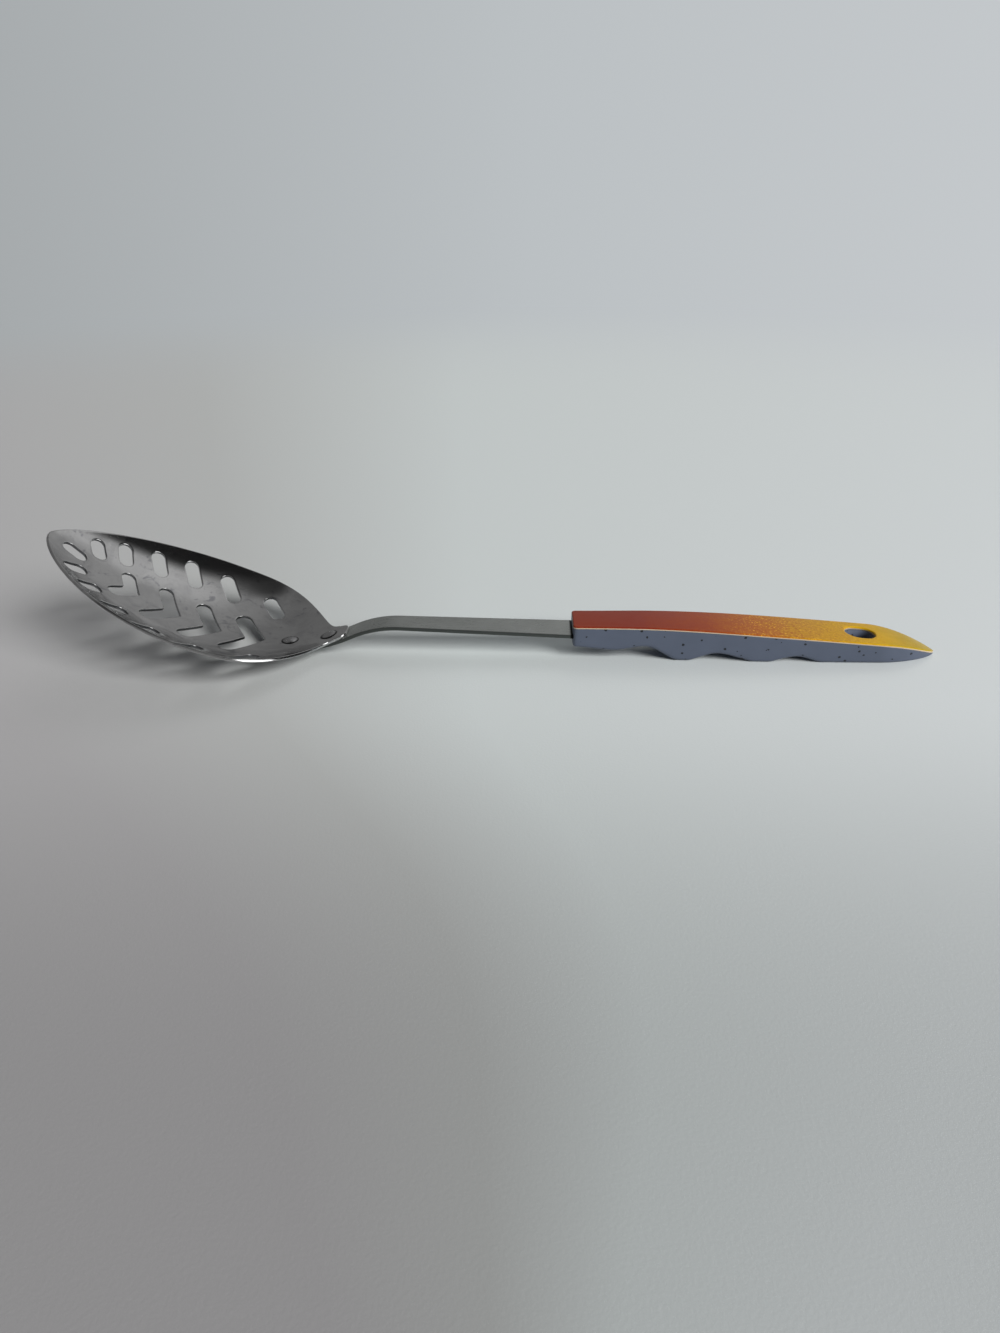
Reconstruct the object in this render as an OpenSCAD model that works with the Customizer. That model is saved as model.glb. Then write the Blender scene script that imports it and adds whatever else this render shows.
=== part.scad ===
// Slotted serving spoon, lying on a table as it rests on its own:
// X runs from the tip of the bowl (-X) to the end of the grip (+X),
// Y runs across the spoon and Z is up, with the table at zero.

/* [Overall] */
// Length from the tip of the bowl to the end of the grip
total_len = 340; // [330:1:350]
// Height of the bowl's tip above the table
tip_h = 49.4; // [44:0.2:54]

/* [Bowl] */
// Thickness of the pressed sheet
sheet_t = 1.2; // [0.8:0.1:1.6]
// Width across the rim at the widest place
bowl_w = 75; // [64:0.2:84]
// Length of the bowl from its tip to the end of its tab
bowl_len = 109; // [106:1:118]
// Distance from the tip to the widest place
widest_at = 57; // [50:0.5:62]
// Distance from the lowest place of the floor back to the end of the tab
heel_len = 25.2; // [23:0.1:27]
// Length of the tab that lies on the shank
tab_len = 6.3; // [5:0.1:8]
// Width of the tab
tab_w = 11.4; // [11:0.1:14]
// Radius of the corners of the tab
tab_corner_r = 4; // [1:0.5:5]
// Radius of the floor as it rises to the tab
neck_arc_r = 64; // [55:1:90]
// Angle at which the rim leaves the tip, in degrees
rim_tip_angle = 30; // [27:0.2:33]
// Radius of the rim's sweep, seen from the side
rim_sweep_r = 341; // [320:1:400]
// Length over which the wall runs out beside the tab
neck_fade = 17; // [12:1:20]
// Rounding where the wall runs out
neck_blend = 1.2; // [0.5:0.1:2]

/* [Slots] */
// Width of every slot
slot_w = 5.5; // [3:0.5:6]
// Slot on the centre line: distance from the tip, length
tip_slot = [7.6, 9.8]; // [6:0.1:12]
// First side slot: from the tip, from the centre line, length, swing in degrees
side_slot_1 = [11.7, 9.7, 9.8, 41.5]; // [8:0.1:44]
// Second side slot: from the tip, from the centre line, length, swing
side_slot_2 = [18.9, 16, 10.7, 35.8]; // [8:0.1:40]
// Third side slot: from the tip, from the centre line, length, swing
side_slot_3 = [29.2, 21.7, 12.1, 39.1]; // [8:0.1:42]
// Fourth side slot: from the tip, from the centre line, length, swing
side_slot_4 = [40.8, 25.7, 13.4, 37]; // [8:0.1:60]
// Fifth side slot: from the tip, from the centre line, length, swing
side_slot_5 = [55.1, 26.4, 14.8, 36.7]; // [8:0.1:60]
// Sixth side slot: from the tip, from the centre line, length, swing
side_slot_6 = [73.8, 22.2, 13.9, 35.2]; // [8:0.1:80]

/* [Chevrons] */
// First chevron: point from the tip, arm length, arm width, half angle
chevron_1 = [28.8, 9.3, 5.6, 56.6]; // [5:0.1:80]
// Second chevron: point from the tip, arm length, arm width, half angle
chevron_2 = [43.4, 13.8, 5.8, 56.4]; // [5:0.1:80]
// Third chevron: point from the tip, arm length, arm width, half angle
chevron_3 = [58.6, 15.2, 6, 56.6]; // [5:0.1:80]
// Fourth chevron: point from the tip, arm length, arm width, half angle
chevron_4 = [75.7, 16.1, 6.7, 56.2]; // [5:0.1:80]

/* [Rivets] */
// Distance from the end of the tab forward to the front rivet
front_rivet_in = 23.4; // [22:0.1:24]
// Distance from the end of the tab forward to the rear rivet
rear_rivet_in = 7.6; // [7:0.1:9]
// Diameter of the rivets' shafts
rivet_d = 4; // [3:0.1:5]
// Diameter of the domed heads
head_d = 6.4; // [5.5:0.1:7]
// Height of the domed heads
head_h = 1.1; // [0.8:0.1:1.6]
// Height of the closed tails under the shank
tail_h = 1.4; // [0.8:0.1:1.6]

/* [Shank] */
// Thickness of the strip
shank_t = 1.6; // [1.2:0.1:2]
// Length of the strip under the bowl, back to the end of the tab
strip_lap = 30; // [28:0.5:32]
// Width of the strip at the bowl
shank_bowl_w = 11; // [9:0.5:11]
// Width of the strip at the grip
shank_grip_w = 14; // [11:0.5:15]
// Length of the straight climb behind the tab
climb_len = 3; // [1:0.5:5]
// Outer radius of the bend from the climb to the run
bend_r = 42; // [30:1:60]
// Fall of the straight run towards the grip, in degrees
run_fall = 2; // [1:0.1:3]

/* [Grip] */
// Length of the grip
grip_len = 141.4; // [136:0.2:146]
// Width of the grip behind its flare
grip_w = 19.3; // [17:0.1:22]
// Width of the grip at its front
grip_front_w = 15.8; // [15.2:0.1:18]
// Length of the flare from the front to the full width
flare_len = 80; // [60:1:100]
// Radius of the upright corners at the front
grip_corner_r = 1.5; // [0.5:0.1:2]
// Draft of the body's sides, in degrees
draft_angle = 4; // [0:0.5:6]
// Rounding of the body's lower edges
sole_r = 1.6; // [0.8:0.1:2]
// Height of the seam above the table at the front
seam_h = 13.4; // [12.6:0.1:14]
// Length of the level stretch of the seam at the front
seam_flat_len = 21; // [14:1:28]
// Length over which the seam bends from level to its fall
seam_bend_len = 40; // [30:1:50]
// Fall of the seam behind the bend, in degrees
seam_fall = 5.3; // [4.5:0.1:5.6]
// Extra drop of the seam at the nose
nose_drop = 4.9; // [3:0.1:5.2]
// Length of the tapered nose
nose_len = 24.6; // [22:0.2:30]
// Width of the blunt end of the nose
nose_end_w = 0.8; // [0.6:0.1:2]
// Height of the cap's side above the seam
cap_side_h = 0.9; // [0.6:0.1:2]
// Extra height of the cap along its middle
cap_crown = 0.3; // [0.2:0.1:1.5]
// Length of the hanging hole
hole_len = 11.5; // [11.5:0.5:14]
// Width of the hanging hole
hole_w = 9.5; // [7:0.5:11]
// Distance from the end of the grip to the middle of the hanging hole
hole_from_end = 29.7; // [26:0.1:36]

/* [Underside of the grip] */
// Height above the table at the grip's front
underside_front_h = 5.6; // [5:0.1:6.4]
// Bulge behind the front: distance from the grip's front, height above the table
front_bulge = [16, 4.3]; // [3:0.1:18]
// Arch behind the bulge: distance from the grip's front, height above the table
front_arch = [28, 6.1]; // [5:0.1:30]
// Distance from the grip's front to the first ridge, which stands on the table
ridge_1_at = 42.5; // [38:0.5:48]
// First finger scallop: distance from the grip's front, height above the table
scallop_1 = [55.5, 3.7]; // [2:0.1:60]
// Distance from the grip's front to the second ridge
ridge_2_at = 73; // [68:0.5:78]
// Second finger scallop: distance from the grip's front, height above the table
scallop_2 = [86, 2.8]; // [2:0.1:90]
// Distance from the grip's front to the flat foot, which runs to the end
foot_at = 98; // [94:0.5:106]

/* [Tang and pegs] */
// Length of the tang inside the grip
tang_len = 64; // [50:1:70]
// Width of the tang inside the grip
tang_w = 10; // [8:0.5:11]
// Length of the tang that keeps the strip's full width
tang_shoulder = 4; // [2:1:8]
// Diameter of the plastic post through the tang
post_d = 4; // [3:0.5:5]
// Clearance round and above the tang
tang_gap = 0.1; // [0.05:0.05:0.3]
// Distance from the grip's front to the front peg under the cap
front_peg_at = 30; // [26:1:36]
// Distance from the grip's front to the rear peg under the cap
rear_peg_at = 84; // [76:1:92]
// Diameter of the pegs
peg_d = 4; // [3:0.5:5]
// Length of the pegs below the seam
peg_len = 2.2; // [1.5:0.1:3]

/* [Hidden] */
$fn = 64;

// Rows along the bowl and columns across half of it
bowl_rows = 60;
bowl_cols = 14;
// Rows along the grip, columns across the cap and steps round a lower edge
grip_rows = 96;
cap_cols = 10;
sole_steps = 4;
// Step used to measure slopes, and how far a cutter runs past a face
tiny = 0.05;
past = 6;
// Steps in each curved stretch of the strip
arc_steps = 12;

// Shares that give the rim its outline: roundness of the tip and of the shoulders
tip_power_share = 1.89;
tip_root_share = 0.68;
shoulder_power_share = 3;
shoulder_root_share = 1.22;
// Shares that shape the floor towards the tip and the walls
floor_power_share = 2.02;
wall_power_share = 2.46;
// Shares that shape the grip's nose
nose_power_share = 1.7;
nose_root_share = 0.7;
// Share of the draft and of the lower rounding that is lost along the nose
nose_crisp_share = 0.8;

// Clearance of a rivet's shaft in its holes, and of its head and tail on the
// curved faces that they close on
rivet_gap = 0.05;
head_seat = 0.06;
tail_seat = 0.01;
// Clearance round and under each peg, and how far the post runs into the plastic
peg_gap = 0.1;
post_root = 0.3;
// Depth to which the ridges and the foot are cut flat
sole_cut = 0.4;

// Distances from the tip
lowest_at = bowl_len - heel_len;
neck_at = bowl_len - tab_len;
front_rivet_at = bowl_len - front_rivet_in;
rear_rivet_at = bowl_len - rear_rivet_in;

// Height of the floor's lowest place: the front rivet's tail stands on the table
rivet_angle = asin(max(front_rivet_at - lowest_at, 0) / neck_arc_r);
low_z = (tail_h + tail_seat + shank_t + sheet_t) * cos(rivet_angle)
    - neck_arc_r * (1 - cos(rivet_angle));
floor_rise = tip_h - low_z;
tip_floor_angle = atan(floor_power_share * floor_rise / lowest_at);

// How far past the tab's end the wall would run out
tab_fade_past = 5.5;

// Places along X
tip_x = -total_len / 2 + sheet_t * sin(tip_floor_angle);
end_x = total_len / 2;
low_x = tip_x + lowest_at;
wide_x = tip_x + widest_at;
neck_x = tip_x + neck_at;
tab_x = tip_x + bowl_len;
fade_x = tab_x + tab_fade_past;
grip_x = end_x - grip_len;
hole_x = end_x - hole_from_end;
nose_x = end_x - nose_len;

side_slots = [side_slot_1, side_slot_2, side_slot_3, side_slot_4, side_slot_5, side_slot_6];
chevrons = [chevron_1, chevron_2, chevron_3, chevron_4];

// Smooth step from 0 to 1
function ease(s) = let (c = min(max(s, 0), 1)) c * c * (3 - 2 * c);
function unit(v) = v / norm(v);

// Half width of the bowl's rim at x
function tip_half_w(x) =
    let (s = min(max((wide_x - x) / widest_at, 0), 1))
    bowl_w / 2 * pow(1 - pow(s, tip_power_share), tip_root_share);
function neck_half_w(x) =
    let (s = min(max((neck_x - x) / (neck_x - wide_x), 0), 1))
    tab_w / 2 + (bowl_w - tab_w) / 2
        * pow(1 - pow(1 - s, shoulder_power_share), shoulder_root_share);
function corner_half_w(x) =
    let (d = min(max(x - tab_x + tab_corner_r, 0), tab_corner_r))
    tab_w / 2 - tab_corner_r + sqrt(tab_corner_r * tab_corner_r - d * d);
function half_w(x) = x < wide_x ? tip_half_w(x)
    : x < tab_x - tab_corner_r ? neck_half_w(x) : corner_half_w(x);

// Height and slope of the floor along the centre line
function floor_z(x) = x < low_x
    ? low_z + floor_rise * pow((low_x - x) / lowest_at, floor_power_share)
    : low_z + neck_arc_r - sqrt(neck_arc_r * neck_arc_r - (x - low_x) * (x - low_x));
function floor_angle(x) = atan((floor_z(x + tiny) - floor_z(x - tiny)) / (2 * tiny));

// Height of the rim above the floor, which runs out beside the tab
function rim_z(x) = tip_h - tan(rim_tip_angle) * (x - tip_x)
    + (x - tip_x) * (x - tip_x) / (2 * rim_sweep_r);
function wall_h(x) =
    let (h = rim_z(x) - floor_z(x), soft = neck_blend * ease((x - low_x) / neck_fade))
    (h + sqrt(h * h + soft * soft)) / 2 * ease((fade_x - x) / neck_fade);

// Upper surface of the bowl and its upward normal
function bowl_z(x, y) = floor_z(x)
    + wall_h(x) * pow(abs(y) / max(half_w(x), tiny), wall_power_share);
function bowl_point(x, y) = [x, y, bowl_z(x, y)];
function bowl_normal(x, y) =
    let (
        back = max(x - tiny, tip_x + tiny / 2),
        dx = (bowl_z(x + tiny, y) - bowl_z(back, y)) / (x + tiny - back),
        dy = (bowl_z(x, y + tiny) - bowl_z(x, y - tiny)) / (2 * tiny)
    )
    unit([-dx, -dy, 1]);

// Rows are closer together at the tip and at the tab
function row_x(i) = tip_x + bowl_len * (1 - cos(180 * i / bowl_rows)) / 2;
function top_point(i, j) = let (x = row_x(i)) bowl_point(x, half_w(x) * j / bowl_cols);
function under_point(i, j) =
    let (x = row_x(i), y = half_w(x) * j / bowl_cols)
    bowl_point(x, y) - sheet_t * bowl_normal(x, y);

module bowl_shell() {
    wide = 2 * bowl_cols + 1;
    last = wide - 1;
    side = 1 + bowl_rows * wide;
    tip_normal = [sin(tip_floor_angle), 0, cos(tip_floor_angle)];
    tip = [tip_x, 0, tip_h];
    points = concat(
        [tip],
        [for (i = [1:bowl_rows]) for (j = [-bowl_cols:bowl_cols]) top_point(i, j)],
        [tip - sheet_t * tip_normal],
        [for (i = [1:bowl_rows]) for (j = [-bowl_cols:bowl_cols]) under_point(i, j)]
    );
    function at(i, k) = i == 0 ? 0 : 1 + (i - 1) * wide + k;
    faces = concat(
        [for (k = [0:last - 1]) [0, at(1, k + 1), at(1, k)]],
        [for (k = [0:last - 1]) [side, side + at(1, k), side + at(1, k + 1)]],
        [for (i = [1:bowl_rows - 1]) for (k = [0:last - 1]) each [
            [at(i, k), at(i, k + 1), at(i + 1, k + 1)],
            [at(i, k), at(i + 1, k + 1), at(i + 1, k)],
            [side + at(i, k), side + at(i + 1, k + 1), side + at(i, k + 1)],
            [side + at(i, k), side + at(i + 1, k), side + at(i + 1, k + 1)]
        ]],
        [for (i = [0:bowl_rows - 1]) each [
            [at(i, 0), at(i + 1, 0), side + at(i + 1, 0)],
            [at(i, 0), side + at(i + 1, 0), side + at(i, 0)],
            [at(i, i == 0 ? 0 : last), side + at(i + 1, last), at(i + 1, last)],
            [at(i, i == 0 ? 0 : last), side + at(i, i == 0 ? 0 : last), side + at(i + 1, last)]
        ]],
        [for (k = [0:last - 1]) each [
            [at(bowl_rows, k), at(bowl_rows, k + 1), side + at(bowl_rows, k + 1)],
            [at(bowl_rows, k), side + at(bowl_rows, k + 1), side + at(bowl_rows, k)]
        ]]
    );
    polyhedron(points, faces);
}

// Stands its children on the bowl at x and y, with +Z along the bowl's normal,
// +Y outwards across the bowl and +X towards the grip
module on_bowl(x, y) {
    p = bowl_point(x, y);
    up = bowl_normal(x, y);
    along = unit(cross([0, 1, 0], up));
    across = cross(up, along);
    multmatrix([
        [along.x, across.x, up.x, p.x],
        [along.y, across.y, up.y, p.y],
        [along.z, across.z, up.z, p.z],
        [0, 0, 0, 1]
    ])
        children();
}

// Straight slot with round ends, its length along Y
module slot_cutter(length, width, depth) {
    run = length - width;
    cube([width, run, depth], center = true);
    for (s = [-1, 1])
        translate([0, s * run / 2, 0]) cylinder(d = width, h = depth, center = true);
}

// Two arms that meet in a sharp point towards +X
module chevron_cutter(arm, width, angle, depth) {
    linear_extrude(depth, center = true)
        for (s = [0, 1]) mirror([0, s]) {
            polygon([
                [0, 0],
                [-arm * cos(angle), arm * sin(angle)],
                [-arm * cos(angle) - width * sin(angle), arm * sin(angle) - width * cos(angle)],
                [-width / sin(angle), 0]
            ]);
            translate([
                -arm * cos(angle) - width / 2 * sin(angle),
                arm * sin(angle) - width / 2 * cos(angle)
            ])
                circle(d = width);
        }
}

module rivet_hole(at_tip) {
    on_bowl(tip_x + at_tip, 0)
        cylinder(d = rivet_d + 2 * rivet_gap, h = 2 * past, center = true);
}

module bowl() {
    color("silver")
        difference() {
            bowl_shell();
            on_bowl(tip_x + tip_slot[0], 0)
                rotate([0, 0, 90]) slot_cutter(tip_slot[1], slot_w, past);
            for (s = [0, 1]) mirror([0, s, 0])
                for (slot = side_slots)
                    on_bowl(tip_x + slot[0], slot[1])
                        rotate([0, 0, slot[3]]) slot_cutter(slot[2], slot_w, past);
            for (chevron = chevrons)
                on_bowl(tip_x + chevron[0], 0)
                    chevron_cutter(chevron[1], chevron[2], chevron[3], 2 * past);
            rivet_hole(front_rivet_at);
            rivet_hole(rear_rivet_at);
        }
}

// Spherical cap that stands on its flat side
module dome(width, height) {
    ball_r = (width * width / 4 + height * height) / (2 * height);
    intersection() {
        translate([0, 0, height - ball_r]) sphere(r = ball_r);
        cylinder(d = width + past, h = height);
    }
}

module rivet(at_tip) {
    under = sheet_t + shank_t + tail_seat;
    color("lightgray")
        on_bowl(tip_x + at_tip, 0) {
            translate([0, 0, head_seat]) dome(head_d, head_h);
            translate([0, 0, -under]) cylinder(d = rivet_d, h = under + head_seat);
            translate([0, 0, -under]) mirror([0, 0, 1]) dome(head_d, tail_h);
        }
}

// Side view of the strip's top as [x, z, slope angle], from the bowl to the grip
strip_x = tab_x - strip_lap;
climb_angle = floor_angle(tab_x);
function under_bowl(x) = let (a = floor_angle(x))
    [x + sheet_t * sin(a), floor_z(x) - sheet_t * cos(a), a];
under_path = [for (i = [0:2 * arc_steps])
    under_bowl(strip_x + (tab_x - strip_x) * i / (2 * arc_steps))];
under_end = under_path[2 * arc_steps];
climb_end = [
    under_end.x + climb_len * cos(climb_angle),
    under_end.y + climb_len * sin(climb_angle),
    climb_angle
];
function bend_point(a) = [
    climb_end.x + bend_r * (sin(climb_angle) - sin(a)),
    climb_end.y + bend_r * (cos(a) - cos(climb_angle)),
    a
];
bend_path = [for (i = [1:arc_steps])
    bend_point(climb_angle - (climb_angle + run_fall) * i / arc_steps)];
run_start = bend_path[arc_steps - 1];
tang_x = grip_x + tang_len;
function run_point(x) = [x, run_start.y - (x - run_start.x) * tan(run_fall), -run_fall];
strip_path = concat(under_path, [climb_end], bend_path, [run_point(tang_x)]);

function backwards(list) = [for (i = [len(list) - 1:-1:0]) list[i]];
function both_sides(half) = concat(half, [for (p = backwards(half)) [p.x, -p.y]]);
function strip_face(path, rise) = [for (p = path)
    [p.x - rise * sin(p[2]), p.y + rise * cos(p[2])]];

// Column over the strip's plan, from its front end to the end of the tang
module strip_column(height) {
    full_x = grip_x + tang_shoulder;
    step = (shank_grip_w - tang_w) / 2;
    front_x = strip_x + shank_bowl_w / 2;
    back_x = tang_x - tang_w / 2;
    linear_extrude(height)
        polygon(both_sides([
            [front_x, shank_bowl_w / 2],
            [run_start.x, shank_bowl_w / 2],
            [grip_x, shank_grip_w / 2],
            [full_x, shank_grip_w / 2],
            [full_x + step, tang_w / 2],
            [back_x, tang_w / 2]
        ]));
    translate([front_x, 0, 0]) cylinder(d = shank_bowl_w, h = height);
    translate([back_x, 0, 0]) cylinder(d = tang_w, h = height);
}

post_x = grip_x + tang_len - tang_w / 2 - post_d;

module shank() {
    side = concat(strip_face(strip_path, 0), backwards(strip_face(strip_path, -shank_t)));
    color("darkgray")
        difference() {
            intersection() {
                rotate([90, 0, 0]) linear_extrude(2 * shank_grip_w, center = true) polygon(side);
                strip_column(tip_h);
            }
            rivet_hole(front_rivet_at);
            rivet_hole(rear_rivet_at);
            translate([post_x, 0, 0]) cylinder(d = post_d + 2 * tang_gap, h = tip_h);
        }
}

// Seam between the grip's body and its cap, and half width of the grip
function nose_share(x) = max((x - nose_x) / nose_len, 0);
function seam_z(x) =
    let (d = max(x - grip_x - seam_flat_len, 0), n = nose_share(x))
    seam_h - tan(seam_fall) * (sqrt(d * d + seam_bend_len * seam_bend_len) - seam_bend_len)
        - nose_drop * n * n;
function flare_half_w(x) =
    let (d = max(grip_x + grip_corner_r - x, 0))
    (grip_front_w + (grip_w - grip_front_w) * ease((x - grip_x) / flare_len)) / 2
        - grip_corner_r + sqrt(grip_corner_r * grip_corner_r - d * d);
function grip_half_w(x) = max(nose_end_w / 2,
    flare_half_w(x) * pow(1 - pow(min(nose_share(x), 1), nose_power_share), nose_root_share));

// Rows are closer together at the front and at the nose
grip_xs = [for (i = [0:grip_rows]) grip_x + grip_len * (1 - cos(180 * i / grip_rows)) / 2];

// Turning points of the grip's underside, as distances from its front and heights
underside = [
    [0, underside_front_h], front_bulge, front_arch, [ridge_1_at, 0],
    scallop_1, [ridge_2_at, 0], scallop_2, [foot_at, 0], [grip_len + past, 0]
];
function underside_z(u, k = 0) = u <= underside[k + 1].x
    ? underside[k].y + (underside[k + 1].y - underside[k].y)
        * ease((u - underside[k].x) / (underside[k + 1].x - underside[k].x))
    : underside_z(u, k + 1);

// Joins rings of points, each in a plane across X, into one closed skin
module loft(rings) {
    count = len(rings[0]);
    last = len(rings) - 1;
    polyhedron(
        [for (ring = rings) each ring],
        concat(
            [[for (k = [0:count - 1]) k]],
            [[for (k = [count - 1:-1:0]) last * count + k]],
            [for (i = [0:last - 1]) for (k = [0:count - 1])
                let (a = i * count + k, b = i * count + (k + 1) % count) each [
                    [a, a + count, b],
                    [b, a + count, b + count]
                ]]
        )
    );
}

module hang_hole() {
    translate([hole_x, 0, 0]) rotate([0, 0, 90]) slot_cutter(hole_len, hole_w, tip_h);
}

peg_xs = [grip_x + front_peg_at, grip_x + rear_peg_at];

// Room for the tang, one clearance wider and higher than the tang
module tang_pocket() {
    full_w = shank_grip_w + 2 * tang_gap;
    inner_w = tang_w + 2 * tang_gap;
    deep = tang_len / cos(run_fall) + tang_gap;
    shoulder = tang_shoulder + tang_gap;
    step = (full_w - inner_w) / 2;
    height = shank_t + tang_gap;
    translate([grip_x, 0, run_point(grip_x).y]) rotate([0, run_fall, 0]) translate([0, 0, -shank_t]) {
        linear_extrude(height)
            polygon(both_sides([
                [-past, full_w / 2],
                [shoulder, full_w / 2],
                [shoulder + step, inner_w / 2],
                [deep - inner_w / 2, inner_w / 2]
            ]));
        translate([deep - inner_w / 2, 0, 0]) cylinder(d = inner_w, h = height);
    }
}

// Section of the body at x, from the seam down one side and up the other
function body_ring(x) =
    let (
        w = grip_half_w(x),
        top = seam_z(x),
        low = underside_z(x - grip_x) - sole_cut,
        soft = 1 - nose_crisp_share * min(nose_share(x), 1),
        r = min(sole_r * soft, w / 2, (top - low) / 2),
        sole_w = w - (top - low - r) * tan(draft_angle * soft),
        half = concat([[w, top]], [for (i = [0:sole_steps])
            let (a = 90 * i / sole_steps)
            [max(sole_w, r) - r + r * cos(a), low + r - r * sin(a)]])
    )
    [for (p = both_sides_across(half)) [x, p.x, p.y]];
function both_sides_across(half) = concat(half, [for (p = backwards(half)) [-p.x, p.y]]);

module grip_body() {
    color("slategray") {
        difference() {
            loft([for (x = grip_xs) body_ring(x)]);
            translate([grip_x - past, -grip_w, -past]) cube([grip_len + 2 * past, 2 * grip_w, past]);
            tang_pocket();
            hang_hole();
            for (x = peg_xs)
                translate([x, 0, seam_z(x) - peg_len - peg_gap])
                    cylinder(d = peg_d + 2 * peg_gap, h = tip_h);
        }
        translate([post_x, 0, run_point(post_x).y - shank_t - post_root])
            cylinder(d = post_d, h = shank_t + tang_gap + 2 * post_root);
    }
}

// Section of the cap at x: its crowned top, from one side to the other, and the seam
function cap_ring(x) =
    let (w = grip_half_w(x), z = seam_z(x))
    concat(
        [for (j = [-cap_cols / 2:cap_cols / 2])
            let (t = 2 * j / cap_cols)
            [x, -w * t, z + cap_side_h + cap_crown * (1 - t * t) * 2 * w / grip_w]],
        [[x, -w, z], [x, w, z]]
    );

module grip_cap() {
    color("darkorange") {
        difference() {
            loft([for (x = grip_xs) cap_ring(x)]);
            hang_hole();
        }
        for (x = peg_xs)
            translate([x, 0, seam_z(x) - peg_len]) cylinder(d = peg_d, h = peg_len + cap_side_h);
    }
}

bowl();
rivet(front_rivet_at);  // front_rivet
rivet(rear_rivet_at);  // rear_rivet
shank();
grip_body();
grip_cap();
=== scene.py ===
import math
from functools import partial

import bpy
import numpy as np
from mathutils import Matrix, Vector
from mathutils.geometry import delaunay_2d_cdt


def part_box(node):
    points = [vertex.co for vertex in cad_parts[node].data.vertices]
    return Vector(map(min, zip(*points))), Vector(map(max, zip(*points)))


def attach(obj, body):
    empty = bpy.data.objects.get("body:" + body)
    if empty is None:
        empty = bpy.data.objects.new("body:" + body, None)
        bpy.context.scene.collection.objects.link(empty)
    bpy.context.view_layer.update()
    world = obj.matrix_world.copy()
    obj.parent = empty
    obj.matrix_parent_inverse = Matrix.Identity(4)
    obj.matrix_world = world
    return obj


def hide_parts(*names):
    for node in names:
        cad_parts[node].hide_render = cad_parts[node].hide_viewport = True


# A slotted serving spoon on a pale table. X runs from the bowl's tip to the end of the grip,
# Y runs across the spoon and Z is up. Shapes are worked out in millimetres and stored in metres.

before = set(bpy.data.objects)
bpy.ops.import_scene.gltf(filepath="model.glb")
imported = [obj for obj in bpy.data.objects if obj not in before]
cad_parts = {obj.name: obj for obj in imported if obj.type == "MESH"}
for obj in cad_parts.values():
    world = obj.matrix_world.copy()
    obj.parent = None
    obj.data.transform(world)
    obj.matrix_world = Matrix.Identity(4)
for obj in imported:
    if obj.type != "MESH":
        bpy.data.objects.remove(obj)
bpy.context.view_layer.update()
print("frame loaded with", len(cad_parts), "pieces")

mm = 0.001
gripFront, gripEnd = [corner[0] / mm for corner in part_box("grip_body")]
scene = bpy.context.scene


# Small helpers that every piece uses

def ease(share):  # smooth step from 0 to 1
    c = np.clip(share, 0, 1)
    return c * c * (3 - 2 * c)


def linear(colour):  # sRGB hex to the linear values that a shader takes
    parts = [int(colour[i:i + 2], 16) / 255 for i in (1, 3, 5)]
    return [c / 12.92 if c <= 0.04045 else ((c + 0.055) / 1.055) ** 2.4 for c in parts] + [1]


def usedSocket(value):  # a node stands for its first output in use
    if not isinstance(value, bpy.types.Node):
        return value
    return next(socket for socket in value.outputs if socket.enabled)


def addNode(tree, kind, links=(), stops=(), **settings):
    # kind is the node's type, with its operation after a space, and a shader node goes by the
    # end of its type; a link is a node, a socket or a plain value, by place or by name; stops
    # are places and colours on a colour ramp
    kind, _, operation = kind.partition(" ")
    node = tree.nodes.new(kind if "Node" in kind else "ShaderNode" + kind)
    if operation:
        node.operation = operation
    for key, value in settings.items():
        setattr(node, key, value)
    for key, value in links.items() if isinstance(links, dict) else enumerate(links):
        value = usedSocket(value)
        if isinstance(value, bpy.types.NodeSocket):
            tree.links.new(value, node.inputs[key])
        else:
            node.inputs[key].default_value = value
    for place, colour in stops[1:-1]:
        node.color_ramp.elements.new(place).color = linear(colour)
    for end, stop in zip((0, -1), (stops[0], stops[-1]) if stops else ()):
        node.color_ramp.elements[end].color = linear(stop[1])
    return node


def newShape(name, inputs):  # what adds nodes to a new tree with these inputs, and its two end nodes
    tree = bpy.data.node_groups.new(name, "GeometryNodeTree")
    tree.interface.new_socket("Geometry", in_out="INPUT", socket_type="NodeSocketGeometry")
    for label, kind in {**inputs, "Material": "Material"}.items():
        tree.interface.new_socket(label, in_out="INPUT", socket_type="NodeSocket" + kind)
    tree.interface.new_socket("Geometry", in_out="OUTPUT", socket_type="NodeSocketGeometry")
    return partial(addNode, tree), tree.nodes.new("NodeGroupInput"), tree.nodes.new("NodeGroupOutput")


def endShape(add, first, last, geometry):  # makes the result real faces of the given material
    real = add("GeometryNodeRealizeInstances", [geometry])
    dressed = add("GeometryNodeSetMaterial", {"Geometry": real, "Material": first.outputs["Material"]})
    tree = first.id_data
    tree.links.new(dressed.outputs[0], last.inputs["Geometry"])
    print("built the tree", tree.name)
    return tree


def applyShape(tree, mesh, values):  # runs a geometry tree on a mesh and returns a plain mesh
    work = bpy.data.objects.new(tree.name, mesh)
    scene.collection.objects.link(work)
    modifier = work.modifiers.new(tree.name, "NODES")
    modifier.node_group = tree
    for item in tree.interface.items_tree:
        if item.in_out == "INPUT" and item.name in values:
            modifier[item.identifier] = values[item.name]
    graph = bpy.context.evaluated_depsgraph_get()
    shaped = work.evaluated_get(graph)
    plain = bpy.data.meshes.new_from_object(shaped, preserve_all_data_layers=True, depsgraph=graph)
    bpy.data.objects.remove(work)
    return plain


def makeMesh(name, points, faces, attributes=None):  # points in millimetres
    mesh = bpy.data.meshes.new(name)
    mesh.from_pydata((np.asarray(points, float) * mm).tolist(), [], faces)
    for label, values in (attributes or {}).items():
        mesh.attributes.new(label, "FLOAT", "POINT").data.foreach_set("value", np.asarray(values, np.float32))
    return mesh


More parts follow.
